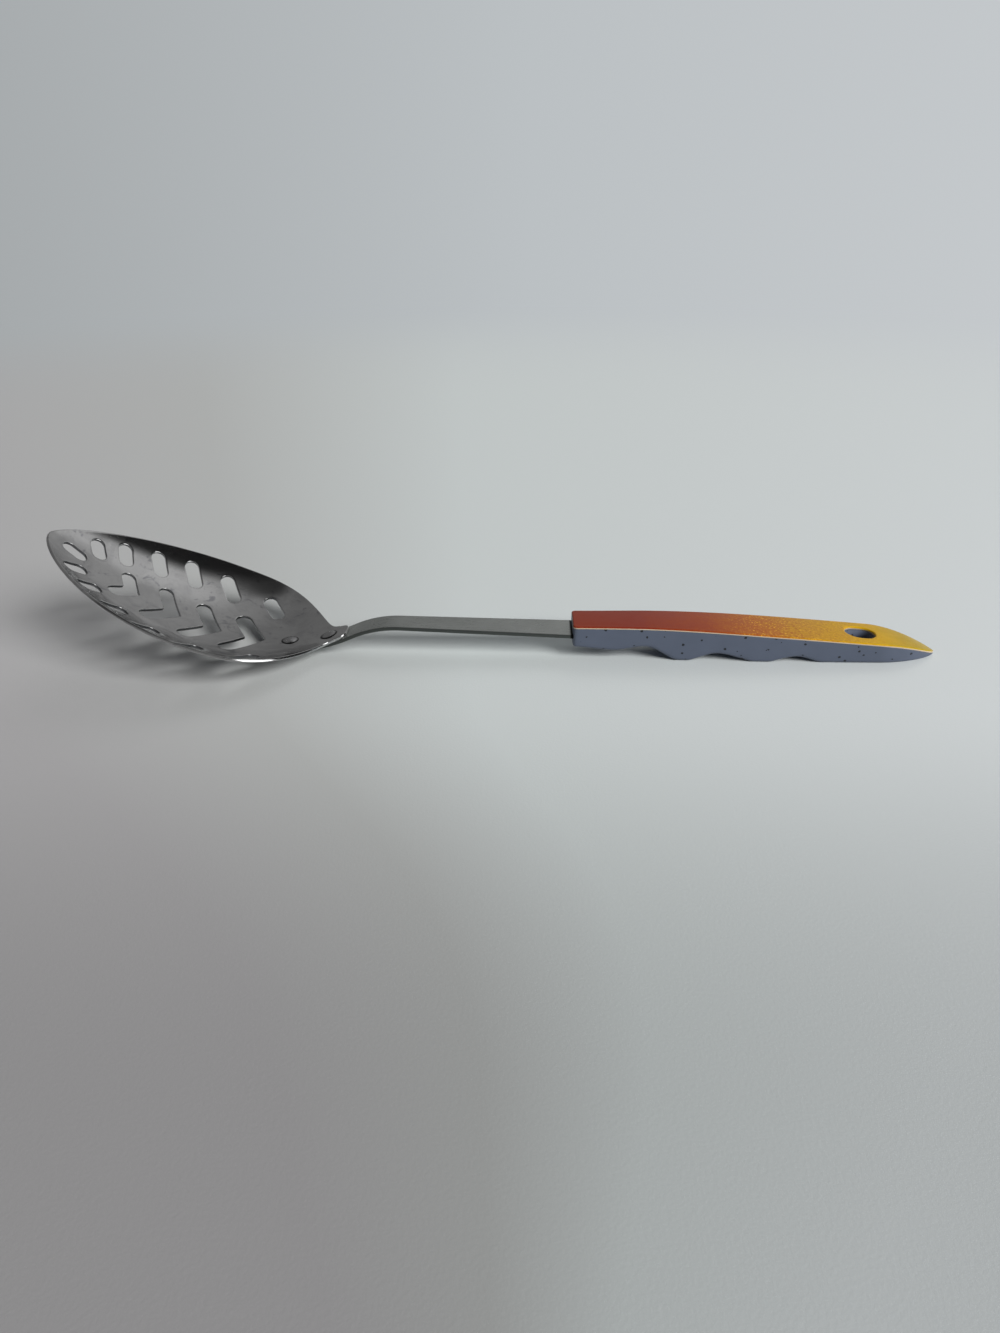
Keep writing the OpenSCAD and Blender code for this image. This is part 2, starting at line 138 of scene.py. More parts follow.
def addPiece(name, mesh, material, replaced):
    mesh.shade_smooth()
    if material.name not in mesh.materials:
        mesh.materials.append(material)
    piece = bpy.data.objects.new(name, mesh)
    scene.collection.objects.link(piece)
    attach(piece, "root")
    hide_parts(*replaced)
    print("made", name, "with", len(mesh.polygons), "faces")
    return piece


# Outlines are closed loops of points with the material on their left: anticlockwise round
# the outside and clockwise round a hole

outlineSamples = 1500
leastPoints = 8  # of a loop
ringPoints = 24  # of a round hole
loopChunk = 200  # points of a loop that are tested at once, to spare memory
sameWithin = 1e-7  # flat points closer than this are one
cornerReach = 0.6  # holds back how far an inset stretches at a sharp corner
gridGap = 0.6  # least gap between the grid's points and a loop, in grid steps
edgeTurns = (0, 30, 60, 90)  # degrees round a sheet's rounded edge
edgeSupport = 0.35  # a row of points this far inside a rounded edge keeps the face flat


def spaced(points, step):  # puts points along a closed loop at an even step
    points = np.asarray(points, float)
    loop = np.vstack([points, points[:1]])
    length = np.concatenate([[0], np.cumsum(np.linalg.norm(np.diff(loop, axis=0), axis=1))])
    at = np.linspace(0, length[-1], max(int(round(length[-1] / step)), leastPoints), endpoint=False)
    return np.stack([np.interp(at, length, loop[:, k]) for k in (0, 1)], -1)


def mirrored(start, length, halfAt, step):  # a loop from half widths, with more points at both ends
    x = start + length * (1 - np.cos(np.linspace(0, math.pi, outlineSamples))) / 2
    side = np.column_stack([x, halfAt(x)])
    return spaced(np.vstack([side * [1, -1], side[::-1]]), step)


def outwards(loop):  # direction away from the material at each point, stretched at corners
    ahead = np.roll(loop, -1, 0) - loop
    ahead /= np.linalg.norm(ahead, axis=1, keepdims=True)
    side = np.stack([ahead[:, 1], -ahead[:, 0]], -1)
    mean = side + np.roll(side, 1, 0)
    mean /= np.linalg.norm(mean, axis=1, keepdims=True)
    return mean / np.maximum((mean * side).sum(1, keepdims=True), cornerReach)


def inside(points, loops):  # even-odd test against all the loops together
    hit = np.zeros(len(points), bool)
    for loop in loops:
        a, b = loop, np.roll(loop, -1, 0)
        for (ax, ay), (bx, by) in zip(a, b):
            if ay == by:
                continue
            crossed = (points[:, 1] < ay) != (points[:, 1] < by)
            hit ^= crossed & (points[:, 0] < ax + (points[:, 1] - ay) * (bx - ax) / (by - ay))
    return hit


def clearOf(points, loops, gap):  # points that lie at least a gap away from every loop
    keep = np.ones(len(points), bool)
    for loop in loops:
        for start in range(0, len(loop), loopChunk):
            part = loop[start:start + loopChunk]
            keep &= (((points[:, None] - part) ** 2).sum(-1) > gap * gap).all(1)
    return points[keep]


def fillFlat(loops, step):  # triangles between the loops, over a hexagonal grid of points
    low, high = np.vstack(loops).min(0), np.vstack(loops).max(0)
    rowStep = step * math.sqrt(3) / 2
    rows = np.arange(low[1] + rowStep / 2, high[1], rowStep)
    across = np.arange(low[0], high[0], step)
    grid = np.array([(x + k % 2 * step / 2, y) for k, y in enumerate(rows) for x in across])
    grid = clearOf(grid[inside(grid, loops)], loops, step * gridGap)
    points = np.vstack(loops + [grid])
    edges, start = [], 0
    for loop in loops:
        edges += [(start + i, start + (i + 1) % len(loop)) for i in range(len(loop))]
        start += len(loop)
    flat, _, faces, origin, _, _ = delaunay_2d_cdt(
        [Vector(p) for p in points], edges, [], 0, sameWithin, True)
    flat = np.array([tuple(p) for p in flat])
    faces = np.array([f for f in faces if len(f) == 3])
    faces = faces[inside(flat[faces].mean(1), loops)]
    a, b, c = (flat[faces[:, k]] for k in range(3))
    turned = (b[:, 0] - a[:, 0]) * (c[:, 1] - a[:, 1]) < (b[:, 1] - a[:, 1]) * (c[:, 0] - a[:, 0])
    faces[turned] = faces[turned][:, ::-1]  # now all of them look up
    place = {old: new for new, olds in enumerate(origin) for old in olds}
    return flat, faces, [place[i] for i in range(start)]


def closedShell(loops, rowsOf, topZ, bottomZ, step):
    # rowsOf gives, for each loop, rows of (flat points, heights, edge share) from the top down.
    # topZ and bottomZ give the height of the two faces between the loops.
    rows = [rowsOf(k, loop) for k, loop in enumerate(loops)]
    topFlat, topFaces, topPlace = fillFlat([r[0][0] for r in rows], step)
    lowFlat, lowFaces, lowPlace = fillFlat([r[-1][0] for r in rows], step)
    points = [np.column_stack([topFlat, topZ(topFlat)]), np.column_stack([lowFlat, bottomZ(lowFlat)])]
    shares = [np.zeros(len(topFlat)), np.zeros(len(lowFlat))]
    faces = topFaces.tolist() + (lowFaces[:, ::-1] + len(topFlat)).tolist()
    count, start = len(topFlat) + len(lowFlat), 0
    for loopRows in rows:
        size = len(loopRows[0][0])
        index = [np.array(topPlace[start:start + size])]
        points[0][index[0], 2] = loopRows[0][1]
        for flat, height, share in loopRows[1:-1]:
            points.append(np.column_stack([flat, height]))
            shares.append(np.full(size, share))
            index.append(np.arange(count, count + size))
            count += size
        index.append(np.array(lowPlace[start:start + size]) + len(topFlat))
        points[1][index[-1] - len(topFlat), 2] = loopRows[-1][1]
        start += size
        for a, b in zip(index, index[1:]):
            faces += np.column_stack([a, b, np.roll(b, -1), np.roll(a, -1)]).tolist()
    return np.vstack(points), faces, np.concatenate(shares)


def sheetShell(loops, sizes, rimShare):  # a flat sheet with rounded edges; the first loop is its rim
    thickness, rounding = sizes["thickness"], sizes["edgeRounding"]
    turns = [math.radians(a) for a in edgeTurns]
    top = [(rounding - rounding * math.sin(a), -rounding * (1 - math.cos(a)), a / turns[-1]) for a in turns]
    steps = [(rounding + edgeSupport, 0, 0)] + top
    steps += [(inset, -thickness - z, share) for inset, z, share in reversed(steps)]

    def rowsOf(k, loop):
        out = outwards(loop)
        marked = 1 if k else rimShare
        return [(loop - inset * out, np.full(len(loop), z), share * marked) for inset, z, share in steps]
    return closedShell(
        loops, rowsOf, lambda p: np.zeros(len(p)), lambda p: np.full(len(p), -thickness), sizes["pointStep"])


# Bowl: a flat pierced blank, pressed by a geometry tree that holds the rule of its shape

bowlSheet = {
    "length": 109, "width": 75, "widestAt": 57, "tipHeight": 49.4,
    "thickness": 1.2, "edgeRounding": 0.22,
    "heelLength": 25.2, "neckRadius": 64, "neckFade": 17, "neckBlend": 1.2, "fadePast": 5.5,
    "tabLength": 6.3, "tabWidth": 11.4, "tabCorner": 4, "neckFillet": 0.05,
    "rimTipAngle": 30, "rimSweep": 341,
    "floorPower": 2.02, "wallPower": 2.46,
    "tipPower": 1.89, "tipRoot": 0.68, "shoulderPower": 3, "shoulderRoot": 1.22,
    "pointStep": 0.9, "outlineStep": 0.72, "slopeStep": 0.1,
}
spoonLength = 340

lowestAt = bowlSheet["length"] - bowlSheet["heelLength"]
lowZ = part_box("bowl")[0][2] / mm + bowlSheet["thickness"]
floorRise = bowlSheet["tipHeight"] - lowZ
tipAngle = math.atan(bowlSheet["floorPower"] * floorRise / lowestAt)
tipX = gripEnd - spoonLength + bowlSheet["thickness"] * math.sin(tipAngle)
wideX = tipX + bowlSheet["widestAt"]
lowX = tipX + lowestAt
tabX = tipX + bowlSheet["length"]
neckX = tabX - bowlSheet["tabLength"]
fadeX = tabX + bowlSheet["fadePast"]


def halfWidth(x):  # of the bowl's rim, from the tip to the end of the tab
    b = bowlSheet
    half, tab, r = b["width"] / 2, b["tabWidth"] / 2, b["tabCorner"]
    s = np.clip((wideX - x) / b["widestAt"], 0, 1)
    front = half * (1 - s ** b["tipPower"]) ** b["tipRoot"]
    s = (neckX - x) / (neckX - wideX)
    s = np.clip((s + np.sqrt(s * s + b["neckFillet"] ** 2)) / 2, 0, 1)  # runs softly into the tab
    rear = tab + (half - tab) * (1 - (1 - s) ** b["shoulderPower"]) ** b["shoulderRoot"]
    d = np.clip(x - tabX + r, 0, r)
    return np.where(x < wideX, front, np.where(x < tabX - r, rear, tab - r + np.sqrt(r * r - d * d)))


pressInputs = {
    "Lowest X": lowX, "Lowest Z": lowZ, "Floor Length": lowestAt, "Floor Rise": floorRise,
    "Neck Radius": bowlSheet["neckRadius"], "Tip X": tipX, "Tip Z": bowlSheet["tipHeight"],
    "Rim Sweep": bowlSheet["rimSweep"], "Fade X": fadeX, "Neck Fade": bowlSheet["neckFade"],
    "Neck Blend": bowlSheet["neckBlend"], "Slope Step": bowlSheet["slopeStep"],
}
pressShares = {
    "Rim Slope": math.tan(math.radians(bowlSheet["rimTipAngle"])),
    "Floor Power": bowlSheet["floorPower"], "Wall Power": bowlSheet["wallPower"],
}

# Each step is a name, an operation and what it works on: a step, an input or a number
pressRule = [
    ("down", "SUBTRACT", "Lowest X", "x"), ("down", "MAXIMUM", "down", 0.0),
    ("front", "DIVIDE", "down", "Floor Length"), ("front", "POWER", "front", "Floor Power"),
    ("front", "MULTIPLY", "front", "Floor Rise"),
    ("back", "SUBTRACT", "x", "Lowest X"), ("back", "MAXIMUM", "back", 0.0), ("back", "POWER", "back", 2.0),
    ("arc", "POWER", "Neck Radius", 2.0), ("arc", "SUBTRACT", "arc", "back"), ("arc", "SQRT", "arc"),
    ("rear", "SUBTRACT", "Neck Radius", "arc"),
    ("floor", "ADD", "front", "rear"), ("floor", "ADD", "floor", "Lowest Z"),
    ("along", "SUBTRACT", "x", "Tip X"), ("fall", "MULTIPLY", "along", "Rim Slope"),
    ("sweep", "POWER", "along", 2.0), ("sweep", "DIVIDE", "sweep", "Rim Sweep"),
    ("sweep", "MULTIPLY", "sweep", 0.5),
    ("rim", "SUBTRACT", "Tip Z", "fall"), ("rim", "ADD", "rim", "sweep"),
    ("wall", "SUBTRACT", "rim", "floor"),
    ("softEnd", "ADD", "Lowest X", "Neck Fade"),
    ("soft", "SMOOTHSTEP", "x", "Lowest X", "softEnd", 0.0, "Neck Blend"), ("soft", "POWER", "soft", 2.0),
    ("square", "MULTIPLY", "wall", "wall"), ("square", "ADD", "square", "soft"), ("square", "SQRT", "square"),
    ("wall", "ADD", "wall", "square"), ("wall", "MULTIPLY", "wall", 0.5),
    ("fadeStart", "SUBTRACT", "Fade X", "Neck Fade"),
    ("fade", "SMOOTHSTEP", "x", "fadeStart", "Fade X", 1.0, 0.0), ("wall", "MULTIPLY", "wall", "fade"),
    ("aside", "ABSOLUTE", "y"), ("aside", "DIVIDE", "aside", "width"),
    ("aside", "POWER", "aside", "Wall Power"),
    ("side", "MULTIPLY", "wall", "aside"), ("height", "ADD", "floor", "side"),
]


def addRule(add, known, rule):
    known = dict(known)
    for name, operation, *inputs in rule:
        values = [known[i] if isinstance(i, str) else i for i in inputs]
        if operation == "SMOOTHSTEP":
            known[name] = add("MapRange", values, interpolation_type="SMOOTHSTEP")
        else:
            known[name] = add("Math " + operation, values)
    return known


def buildPress():
    # Moves each point of the flat blank onto the bowl's upper face, then back along the face's
    # normal by the point's depth in the sheet
    inputs = {name: "Float" for name in {**pressInputs, **pressShares}}
    add, first, last = newShape("pressBowl", inputs)
    known = {name: first.outputs[name] for name in inputs}
    x, y, depth = add("SeparateXYZ", [add("GeometryNodeInputPosition")]).outputs
    width = add("GeometryNodeInputNamedAttribute", ["halfWidth"]).outputs[0]
    widthAhead = add("GeometryNodeInputNamedAttribute", ["halfWidthAhead"]).outputs[0]
    step = known["Slope Step"]
    xAhead = add("Math ADD", [x, step]).outputs[0]
    yAhead = add("Math ADD", [y, step]).outputs[0]
    here = addRule(add, {**known, "x": x, "y": y, "width": width}, pressRule)["height"]
    slopes = []
    for aheadX, aheadY, aheadWidth in ((xAhead, y, widthAhead), (x, yAhead, width)):
        ahead = addRule(add, {**known, "x": aheadX, "y": aheadY, "width": aheadWidth}, pressRule)["height"]
        rise = add("Math SUBTRACT", [here, ahead])
        slopes.append(add("Math DIVIDE", [rise, step]))
    normal = add("CombineXYZ", slopes + [1.0])
    normal = add("VectorMath NORMALIZE", [normal])
    lift = add("VectorMath SCALE", {0: normal, "Scale": depth})
    upper = add("CombineXYZ", [x, y, here])
    pressed = add("VectorMath ADD", [upper, lift])
    marked = add("GeometryNodeStoreNamedAttribute", {
        "Geometry": first.outputs["Geometry"], "Name": "up", "Value": normal}, data_type="FLOAT_VECTOR")
    moved = add("GeometryNodeSetPosition", {"Geometry": marked, "Position": pressed})
    return endShape(add, first, last, moved)


pressBowl = buildPress()


def press(points, faces, material=None, attributes=None):  # flat points and depths to a pressed mesh
    points = np.asarray(points, float)
    least = bowlSheet["slopeStep"] / 2
    marks = dict(attributes or {})
    for name, ahead in (("halfWidth", 0), ("halfWidthAhead", bowlSheet["slopeStep"])):
        x = np.clip(points[:, 0] + ahead, tipX, tabX)
        marks[name] = np.maximum(halfWidth(x), least) * mm
    flat = makeMesh("blank", points, faces, marks)
    values = {name: size * mm for name, size in pressInputs.items()}
    return applyShape(pressBowl, flat, {**values, **pressShares, "Material": material})


def pressedPoints(flat):  # places and normals on the bowl's upper face, in millimetres
    mesh = press(np.column_stack([flat, np.zeros(len(flat))]), [])
    place, up = np.zeros(len(flat) * 3), np.zeros(len(flat) * 3)
    mesh.vertices.foreach_get("co", place)
    mesh.attributes["up"].data.foreach_get("vector", up)
    bpy.data.meshes.remove(mesh)
    return place.reshape(-1, 3) / mm, up.reshape(-1, 3)


slots = {
    "width": 5.5, "cornerRounding": 0.5, "cornerPoints": 4, "pointStep": 0.5, "drops": 4,
    # distance from the tip, distance from the centre line, length and swing in degrees
    "tip": (7.6, 0, 9.8, 90),
    "sides": [(11.7, 9.7, 9.8, 41.5), (18.9, 16, 10.7, 35.8), (29.2, 21.7, 12.1, 39.1),
              (40.8, 25.7, 13.4, 37), (55.1, 26.4, 14.8, 36.7), (73.8, 22.2, 13.9, 35.2)],
    # point from the tip, arm length, arm width and half angle in degrees
    "chevrons": [(28.8, 9.3, 5.6, 56.6), (43.4, 13.8, 5.8, 56.4), (58.6, 15.2, 6, 56.6),
                 (75.7, 16.1, 6.7, 56.2)],
}
rivetSizes = {
    "frontFromTab": 23.4, "rearFromTab": 7.6, "shaft": 4, "gap": 0.05,
    "headWidth": 6.4, "headHeight": 1.1, "headSeat": 0.06, "tailHeight": 1.4, "tailSeat": 0.01,
    "segments": 64, "rings": 48, "shaftSegments": 48,
    "footFrom": 0.25, "footTo": 0.62,  # where the painted shade round the foot of a head starts and ends, 1 at its top
}
rivetXs = [tabX - rivetSizes["frontFromTab"], tabX - rivetSizes["rearFromTab"]]


def arc(centre, radius, start, end, count=14):  # degrees, and clockwise when end is less than start
    turn = np.radians(np.linspace(start, end, count))
    return np.stack([centre[0] + radius * np.cos(turn), centre[1] + radius * np.sin(turn)], -1)


def roundHole(centre, radius):
    return arc(centre, radius, 0, -360, ringPoints + 1)[:-1]


def slotLoop(length, width, swing):
    run = (length - width) / 2
    loop = np.vstack([arc((0, run), width / 2, 180, 0), arc((0, -run), width / 2, 0, -180)])
    turn = math.radians(swing)
    return loop @ np.array([[math.cos(turn), math.sin(turn)], [-math.sin(turn), math.cos(turn)]])


def chevronLoop(arm, width, halfAngle, rounding):
    a = math.radians(halfAngle)
    along, across = np.array([-math.cos(a), math.sin(a)]), np.array([-math.sin(a), -math.cos(a)])
    end = arm * along + across * width / 2
    turn = math.degrees(math.atan2(along[1], along[0]))
    count = slots["cornerPoints"]
    point = arc((-rounding / math.sin(a), 0), rounding, 0, 90 - halfAngle, count)
    notch = arc((-(width + rounding) / math.sin(a), 0), rounding, 90 - halfAngle, 0, count)
    half = np.vstack([point, arc(end, width / 2, turn - 90, turn + 90), notch])
    return np.vstack([half, (half * [1, -1])[::-1]])[::-1]


def bowlHoles():  # every opening as a loop on the flat blank, and its swing about the centre line
    drawn = [(slots["tip"][0], 0, slotLoop(slots["tip"][2], slots["width"], slots["tip"][3]))]
    for fromTip, aside, length, swing in slots["sides"]:
        loop = slotLoop(length, slots["width"], swing)
        drawn += [(fromTip, aside, loop), (fromTip, -aside, (loop * [1, -1])[::-1])]
    for fromTip, arm, width, halfAngle in slots["chevrons"]:
        drawn.append((fromTip, 0, chevronLoop(arm, width, halfAngle, slots["cornerRounding"])))
    for x in rivetXs:
        drawn.append((x - tipX, 0, roundHole((0, 0), rivetSizes["shaft"] / 2 + rivetSizes["gap"])))
    centres, ups = pressedPoints([(tipX + fromTip, aside) for fromTip, aside, _ in drawn])
    loops, lifts, starts = [], [], []
    for (_, _, loop), centre, up in zip(drawn, centres, ups):
        loop = spaced(loop, slots["pointStep"])
        along = np.cross((0, 1, 0), up)
        along /= np.linalg.norm(along)
        starts.append(len(loop))
        loops.append(centre + loop[:, :1] * along + loop[:, 1:] * np.cross(up, along))
        lifts.append(np.tile(up, (len(loop), 1)))
    points, lifts = np.vstack(loops), np.vstack(lifts)
    for _ in range(slots["drops"]):  # onto the pressed face, along each opening's axis
        onFace, _ = pressedPoints(points[:, :2])
        points += (onFace[:, 2] - points[:, 2])[:, None] * lifts[:, 2:] * lifts
    return np.split(points[:, :2], np.cumsum(starts)[:-1])


def makeBowl(material):
    outline = mirrored(tipX, bowlSheet["length"], halfWidth, bowlSheet["outlineStep"])
    points, faces, share = sheetShell([outline] + bowlHoles(), bowlSheet, 0)
    mesh = press(points, faces, material, {"edge": share})
    return addPiece("bowlSheet", mesh, material, ["bowl"])


# Shank: a flat strip that a geometry tree bends along its path

strip = {
    "thickness": 1.6, "edgeRounding": 0.25, "underBowl": 30, "bowlWidth": 11, "gripWidth": 14,
    "climb": 3, "bendRadius": 42, "runFall": 2,
    "tangLength": 64, "tangWidth": 10, "tangShoulder": 4, "postHole": 4.2, "postDistance": 4,
    "pointStep": 1.4, "outlineStep": 1, "holeStep": 0.5, "pathPoints": 60, "endPoints": 16,
}


def stripPath():  # side view of the strip's upper face
    x = np.linspace(tabX - strip["underBowl"], tabX, strip["pathPoints"])
    face, up = pressedPoints(np.column_stack([x, np.zeros(len(x))]))
    lap = (face - up * bowlSheet["thickness"])[:, [0, 2]]
    climbAngle = math.atan2(-up[-1][0], up[-1][2])
    fall = math.radians(strip["runFall"])
    climbEnd = lap[-1] + strip["climb"] * np.array([math.cos(climbAngle), math.sin(climbAngle)])
    turn = np.linspace(climbAngle, -fall, strip["pathPoints"])
    bend = np.column_stack([
        climbEnd[0] + strip["bendRadius"] * (math.sin(climbAngle) - np.sin(turn)),
        climbEnd[1] + strip["bendRadius"] * (np.cos(turn) - math.cos(climbAngle))])
    last = gripFront + strip["tangLength"]
    run = np.array([(last, bend[-1][1] - (last - bend[-1][0]) * math.tan(fall))])
    return np.vstack([lap, bend, run]), x, bend[-1]


def buildBend():
    add, first, last = newShape("bendStrip", {"Path": "Object"})
    x, y, depth = add("SeparateXYZ", [add("GeometryNodeInputPosition")]).outputs
    path = add("GeometryNodeObjectInfo", {"Object": first.outputs["Path"]}).outputs["Geometry"]
    sample = add("GeometryNodeSampleCurve", {
        "Curves": path, "Length": x}, mode="LENGTH", use_all_curves=True)
    across = add("CombineXYZ", [0.0, y, 0.0])
    up = add("VectorMath CROSS_PRODUCT", [sample.outputs["Tangent"], (0, 1, 0)])
    up = add("VectorMath NORMALIZE", [up])
    lift = add("VectorMath SCALE", {0: up, "Scale": depth})
    aside = add("VectorMath ADD", [sample.outputs["Position"], across])
    bent = add("VectorMath ADD", [aside, lift])
    moved = add("GeometryNodeSetPosition", {"Geometry": first.outputs["Geometry"], "Position": bent})
    return endShape(add, first, last, moved)


def makeShank(material):
    s = strip
    path, lapXs, runStart = stripPath()
    length = np.concatenate([[0], np.cumsum(np.linalg.norm(np.diff(path, axis=0), axis=1))])
    curve = bpy.data.curves.new("stripPath", "CURVE")
    curve.dimensions = "3D"
    spline = curve.splines.new("POLY")
    spline.points.add(len(path) - 1)
    for point, (x, z) in zip(spline.points, path):
        point.co = (x * mm, 0, z * mm, 1)
    guide = bpy.data.objects.new("stripPath", curve)
    scene.collection.objects.link(guide)

    def at(x):
        return float(np.interp(x, path[:, 0], length))
    front, wide, tang = (s[name] / 2 for name in ("bowlWidth", "gripWidth", "tangWidth"))
    end, shoulder = length[-1], at(gripFront + s["tangShoulder"])
    corners = [(at(runStart[0]), -front), (at(gripFront), -wide), (shoulder, -wide)]
    corners.append((shoulder + wide - tang, -tang))
    bowlEnd = arc((front, 0), front, 180, 270, s["endPoints"])
    tangEnd = arc((end - tang, 0), tang, -90, 0, s["endPoints"])
    lower = np.vstack([bowlEnd, corners, tangEnd])
    outline = np.vstack([lower, (lower * [1, -1])[::-1]])
    holeXs = [np.interp(x, lapXs, length[:len(lapXs)]) for x in rivetXs] + [end - tang - s["postDistance"]]
    holes = [spaced(roundHole((x, 0), s["postHole"] / 2), s["holeStep"]) for x in holeXs]
    points, faces, share = sheetShell([spaced(outline, s["outlineStep"])] + holes, s, 1)
    flat = makeMesh("strip", points, faces, {"edge": share})
    mesh = applyShape(buildBend(), flat, {"Path": guide, "Material": material})
    bpy.data.objects.remove(guide)
    return addPiece("shankStrip", mesh, material, ["shank"])


# Rivets: one head, shaft and tail, set by a geometry tree on each rivet's place and axis

def buildRivets():
    sizes = ["Head Width", "Head Height", "Tail Height", "Shaft Width", "Stack", "Lip"]
    add, first, last = newShape("setRivets", {name: "Float" for name in sizes})
    known = {name: first.outputs[name] for name in sizes}
    ball = add("GeometryNodeMeshUVSphere", {
        "Segments": rivetSizes["segments"], "Rings": rivetSizes["rings"], "Radius": 1.0})
    x, y, z = add("SeparateXYZ", [add("GeometryNodeInputPosition")]).outputs
    parts = []
    for height in ("Head Height", "Tail Height"):
        # A unit ball becomes a low dome over a thin rounded lip
        rule = [
            ("half", "MULTIPLY", "Head Width", 0.5),
            ("bottom", "MINIMUM", "z", 0.0), ("bottom", "MULTIPLY", "bottom", "Lip"),
            ("flat", "POWER", "z", 2.0), ("flat", "SUBTRACT", 1.0, "flat"), ("flat", "MAXIMUM", "flat", 0.0),
            ("halfSquare", "POWER", "half", 2.0), ("reach", "MULTIPLY", "flat", "halfSquare"),
            ("tallSquare", "POWER", height, 2.0), ("dome", "ADD", "halfSquare", "tallSquare"),
            ("dome", "DIVIDE", "dome", height), ("dome", "MULTIPLY", "dome", 0.5),
            ("domeSquare", "POWER", "dome", 2.0), ("rise", "SUBTRACT", "domeSquare", "reach"),
            ("rise", "SQRT", "rise"), ("rise", "SUBTRACT", "rise", "dome"), ("rise", "ADD", "rise", height),
            ("above", "GREATER_THAN", "z", 0.0), ("rise", "MULTIPLY", "rise", "above"),
            ("height", "ADD", "rise", "bottom"), ("height", "ADD", "height", "Lip"),
            ("wide", "MULTIPLY", "x", "half"), ("deep", "MULTIPLY", "y", "half"),
            ("foot", "SMOOTHSTEP", "z", rivetSizes["footFrom"], rivetSizes["footTo"], 1.0, 0.0),
        ]
        done = addRule(add, {**known, "x": x, "y": y, "z": z}, rule)
        place = add("CombineXYZ", [done["wide"], done["deep"], done["height"]])
        marked = add("GeometryNodeStoreNamedAttribute", {
            "Geometry": ball, "Name": "foot", "Value": done["foot"]})
        dome = add("GeometryNodeSetPosition", {"Geometry": marked, "Position": place})
        if height == "Tail Height":  # the tail hangs upside down under the stack of sheet and strip
            drop = add("Math MULTIPLY", [known["Stack"], -1.0])
            drop = add("CombineXYZ", [0.0, 0.0, drop])
            dome = add("GeometryNodeTransform", {
                "Geometry": dome, "Translation": drop, "Rotation": (math.pi, 0, 0)})
        parts.append(dome)
    length = add("Math ADD", [known["Stack"], known["Lip"]])
    radius = add("Math MULTIPLY", [known["Shaft Width"], 0.5])
    middle = add("Math MULTIPLY", [known["Stack"], -0.5])
    middle = add("CombineXYZ", [0.0, 0.0, middle])
    shaft = add("GeometryNodeMeshCylinder", {
        "Vertices": rivetSizes["shaftSegments"], "Radius": radius, "Depth": length})
    parts.append(add("GeometryNodeTransform", {"Geometry": shaft, "Translation": middle}))
    rivet = add("GeometryNodeJoinGeometry")
    for part in parts:
        rivet.id_data.links.new(part.outputs[0], rivet.inputs[0])
    axis = add("GeometryNodeInputNamedAttribute", ["axis"], data_type="FLOAT_VECTOR")
    turn = add("FunctionNodeAlignRotationToVector", {"Vector": axis.outputs[0]}, axis="Z")
    placed = add("GeometryNodeInstanceOnPoints", {
        "Points": first.outputs["Geometry"], "Instance": rivet, "Rotation": turn})
    return endShape(add, first, last, placed)


def makeRivets(material):
    r = rivetSizes
    tree = buildRivets()
    places, ups = pressedPoints([(x, 0) for x in rivetXs])
    values = {
        "Head Width": r["headWidth"], "Head Height": r["headHeight"] - r["headSeat"],
        "Tail Height": r["tailHeight"] - 2 * r["headSeat"], "Shaft Width": r["shaft"],
        "Stack": bowlSheet["thickness"] + strip["thickness"] + r["tailSeat"], "Lip": r["headSeat"] * 2,
    }
    values = {name: size * mm for name, size in values.items()}
    for name, place, up in zip(("front_rivet", "rear_rivet"), places, ups):
        mesh = makeMesh(name, [place], [])
        mesh.attributes.new("axis", "FLOAT_VECTOR", "POINT").data[0].vector = up
        plain = applyShape(tree, mesh, {**values, "Material": material})
        addPiece(name.replace("_rivet", "RivetDome"), plain, material, [name])


# Grip: two moulded halves on one seam

grip = {
    "width": 19.3, "frontWidth": 15.8, "flare": 80, "cornerRadius": 1.5,
    "draft": 4, "soleRounding": 1.6, "soleCut": 0.4,
    "seamHeight": 13.4, "seamLevel": 21, "seamBend": 40, "seamFall": 5.3, "noseDrop": 4.9, "noseLength": 24.6,
    "noseEnd": 0.8, "nosePower": 1.7, "noseRoot": 0.7, "noseCrisp": 0.8,
    "capSide": 0.9, "capCrown": 0.3, "capRounding": 0.55, "seamGroove": 0.12,
    "holeLength": 11.5, "holeWidth": 9.5, "holeFromEnd": 29.7, "holeRounding": 0.7,
    # distances from the grip's front and heights of the underside's turning points
    "underside": [
        (0, 5.6), (16, 4.3), (28, 6.1), (42.5, 0), (55.5, 3.7), (73, 0), (86, 2.8), (98, 0), (160, 0)],
    "pointStep": 1.1, "outlineStep": 0.9, "holeStep": 0.6,
    # rows of points down the side of the body, as shares of its wall, and degrees round its lower edge
    "wallRows": (0, 0.08, 0.35, 0.65, 0.92, 1), "soleTurns": (15, 30, 45, 60, 75, 90),
    # the last row under the body, as a share of the lower rounding, and of the half width at most
    "soleShare": 1.2, "soleMost": 0.7,
    # rows beside the seam, as shares of its groove
    "grooveFoot": 3, "grooveLip": 0.3,
    "capTurns": (0, 15, 30, 45, 60, 75, 90), "capShare": 1.5,  # the same for the cap's upper edge
    "holeTurns": (0, 30, 60, 90), "holeSupport": 0.4,
}


def noseShare(x):
    return np.maximum((x - gripEnd) / grip["noseLength"] + 1, 0)


def seamZ(x):
    d = np.maximum(x - gripFront - grip["seamLevel"], 0)
    bend = grip["seamBend"]
    fall = math.tan(math.radians(grip["seamFall"])) * (np.sqrt(d * d + bend * bend) - bend)
    return grip["seamHeight"] - fall - grip["noseDrop"] * noseShare(x) ** 2


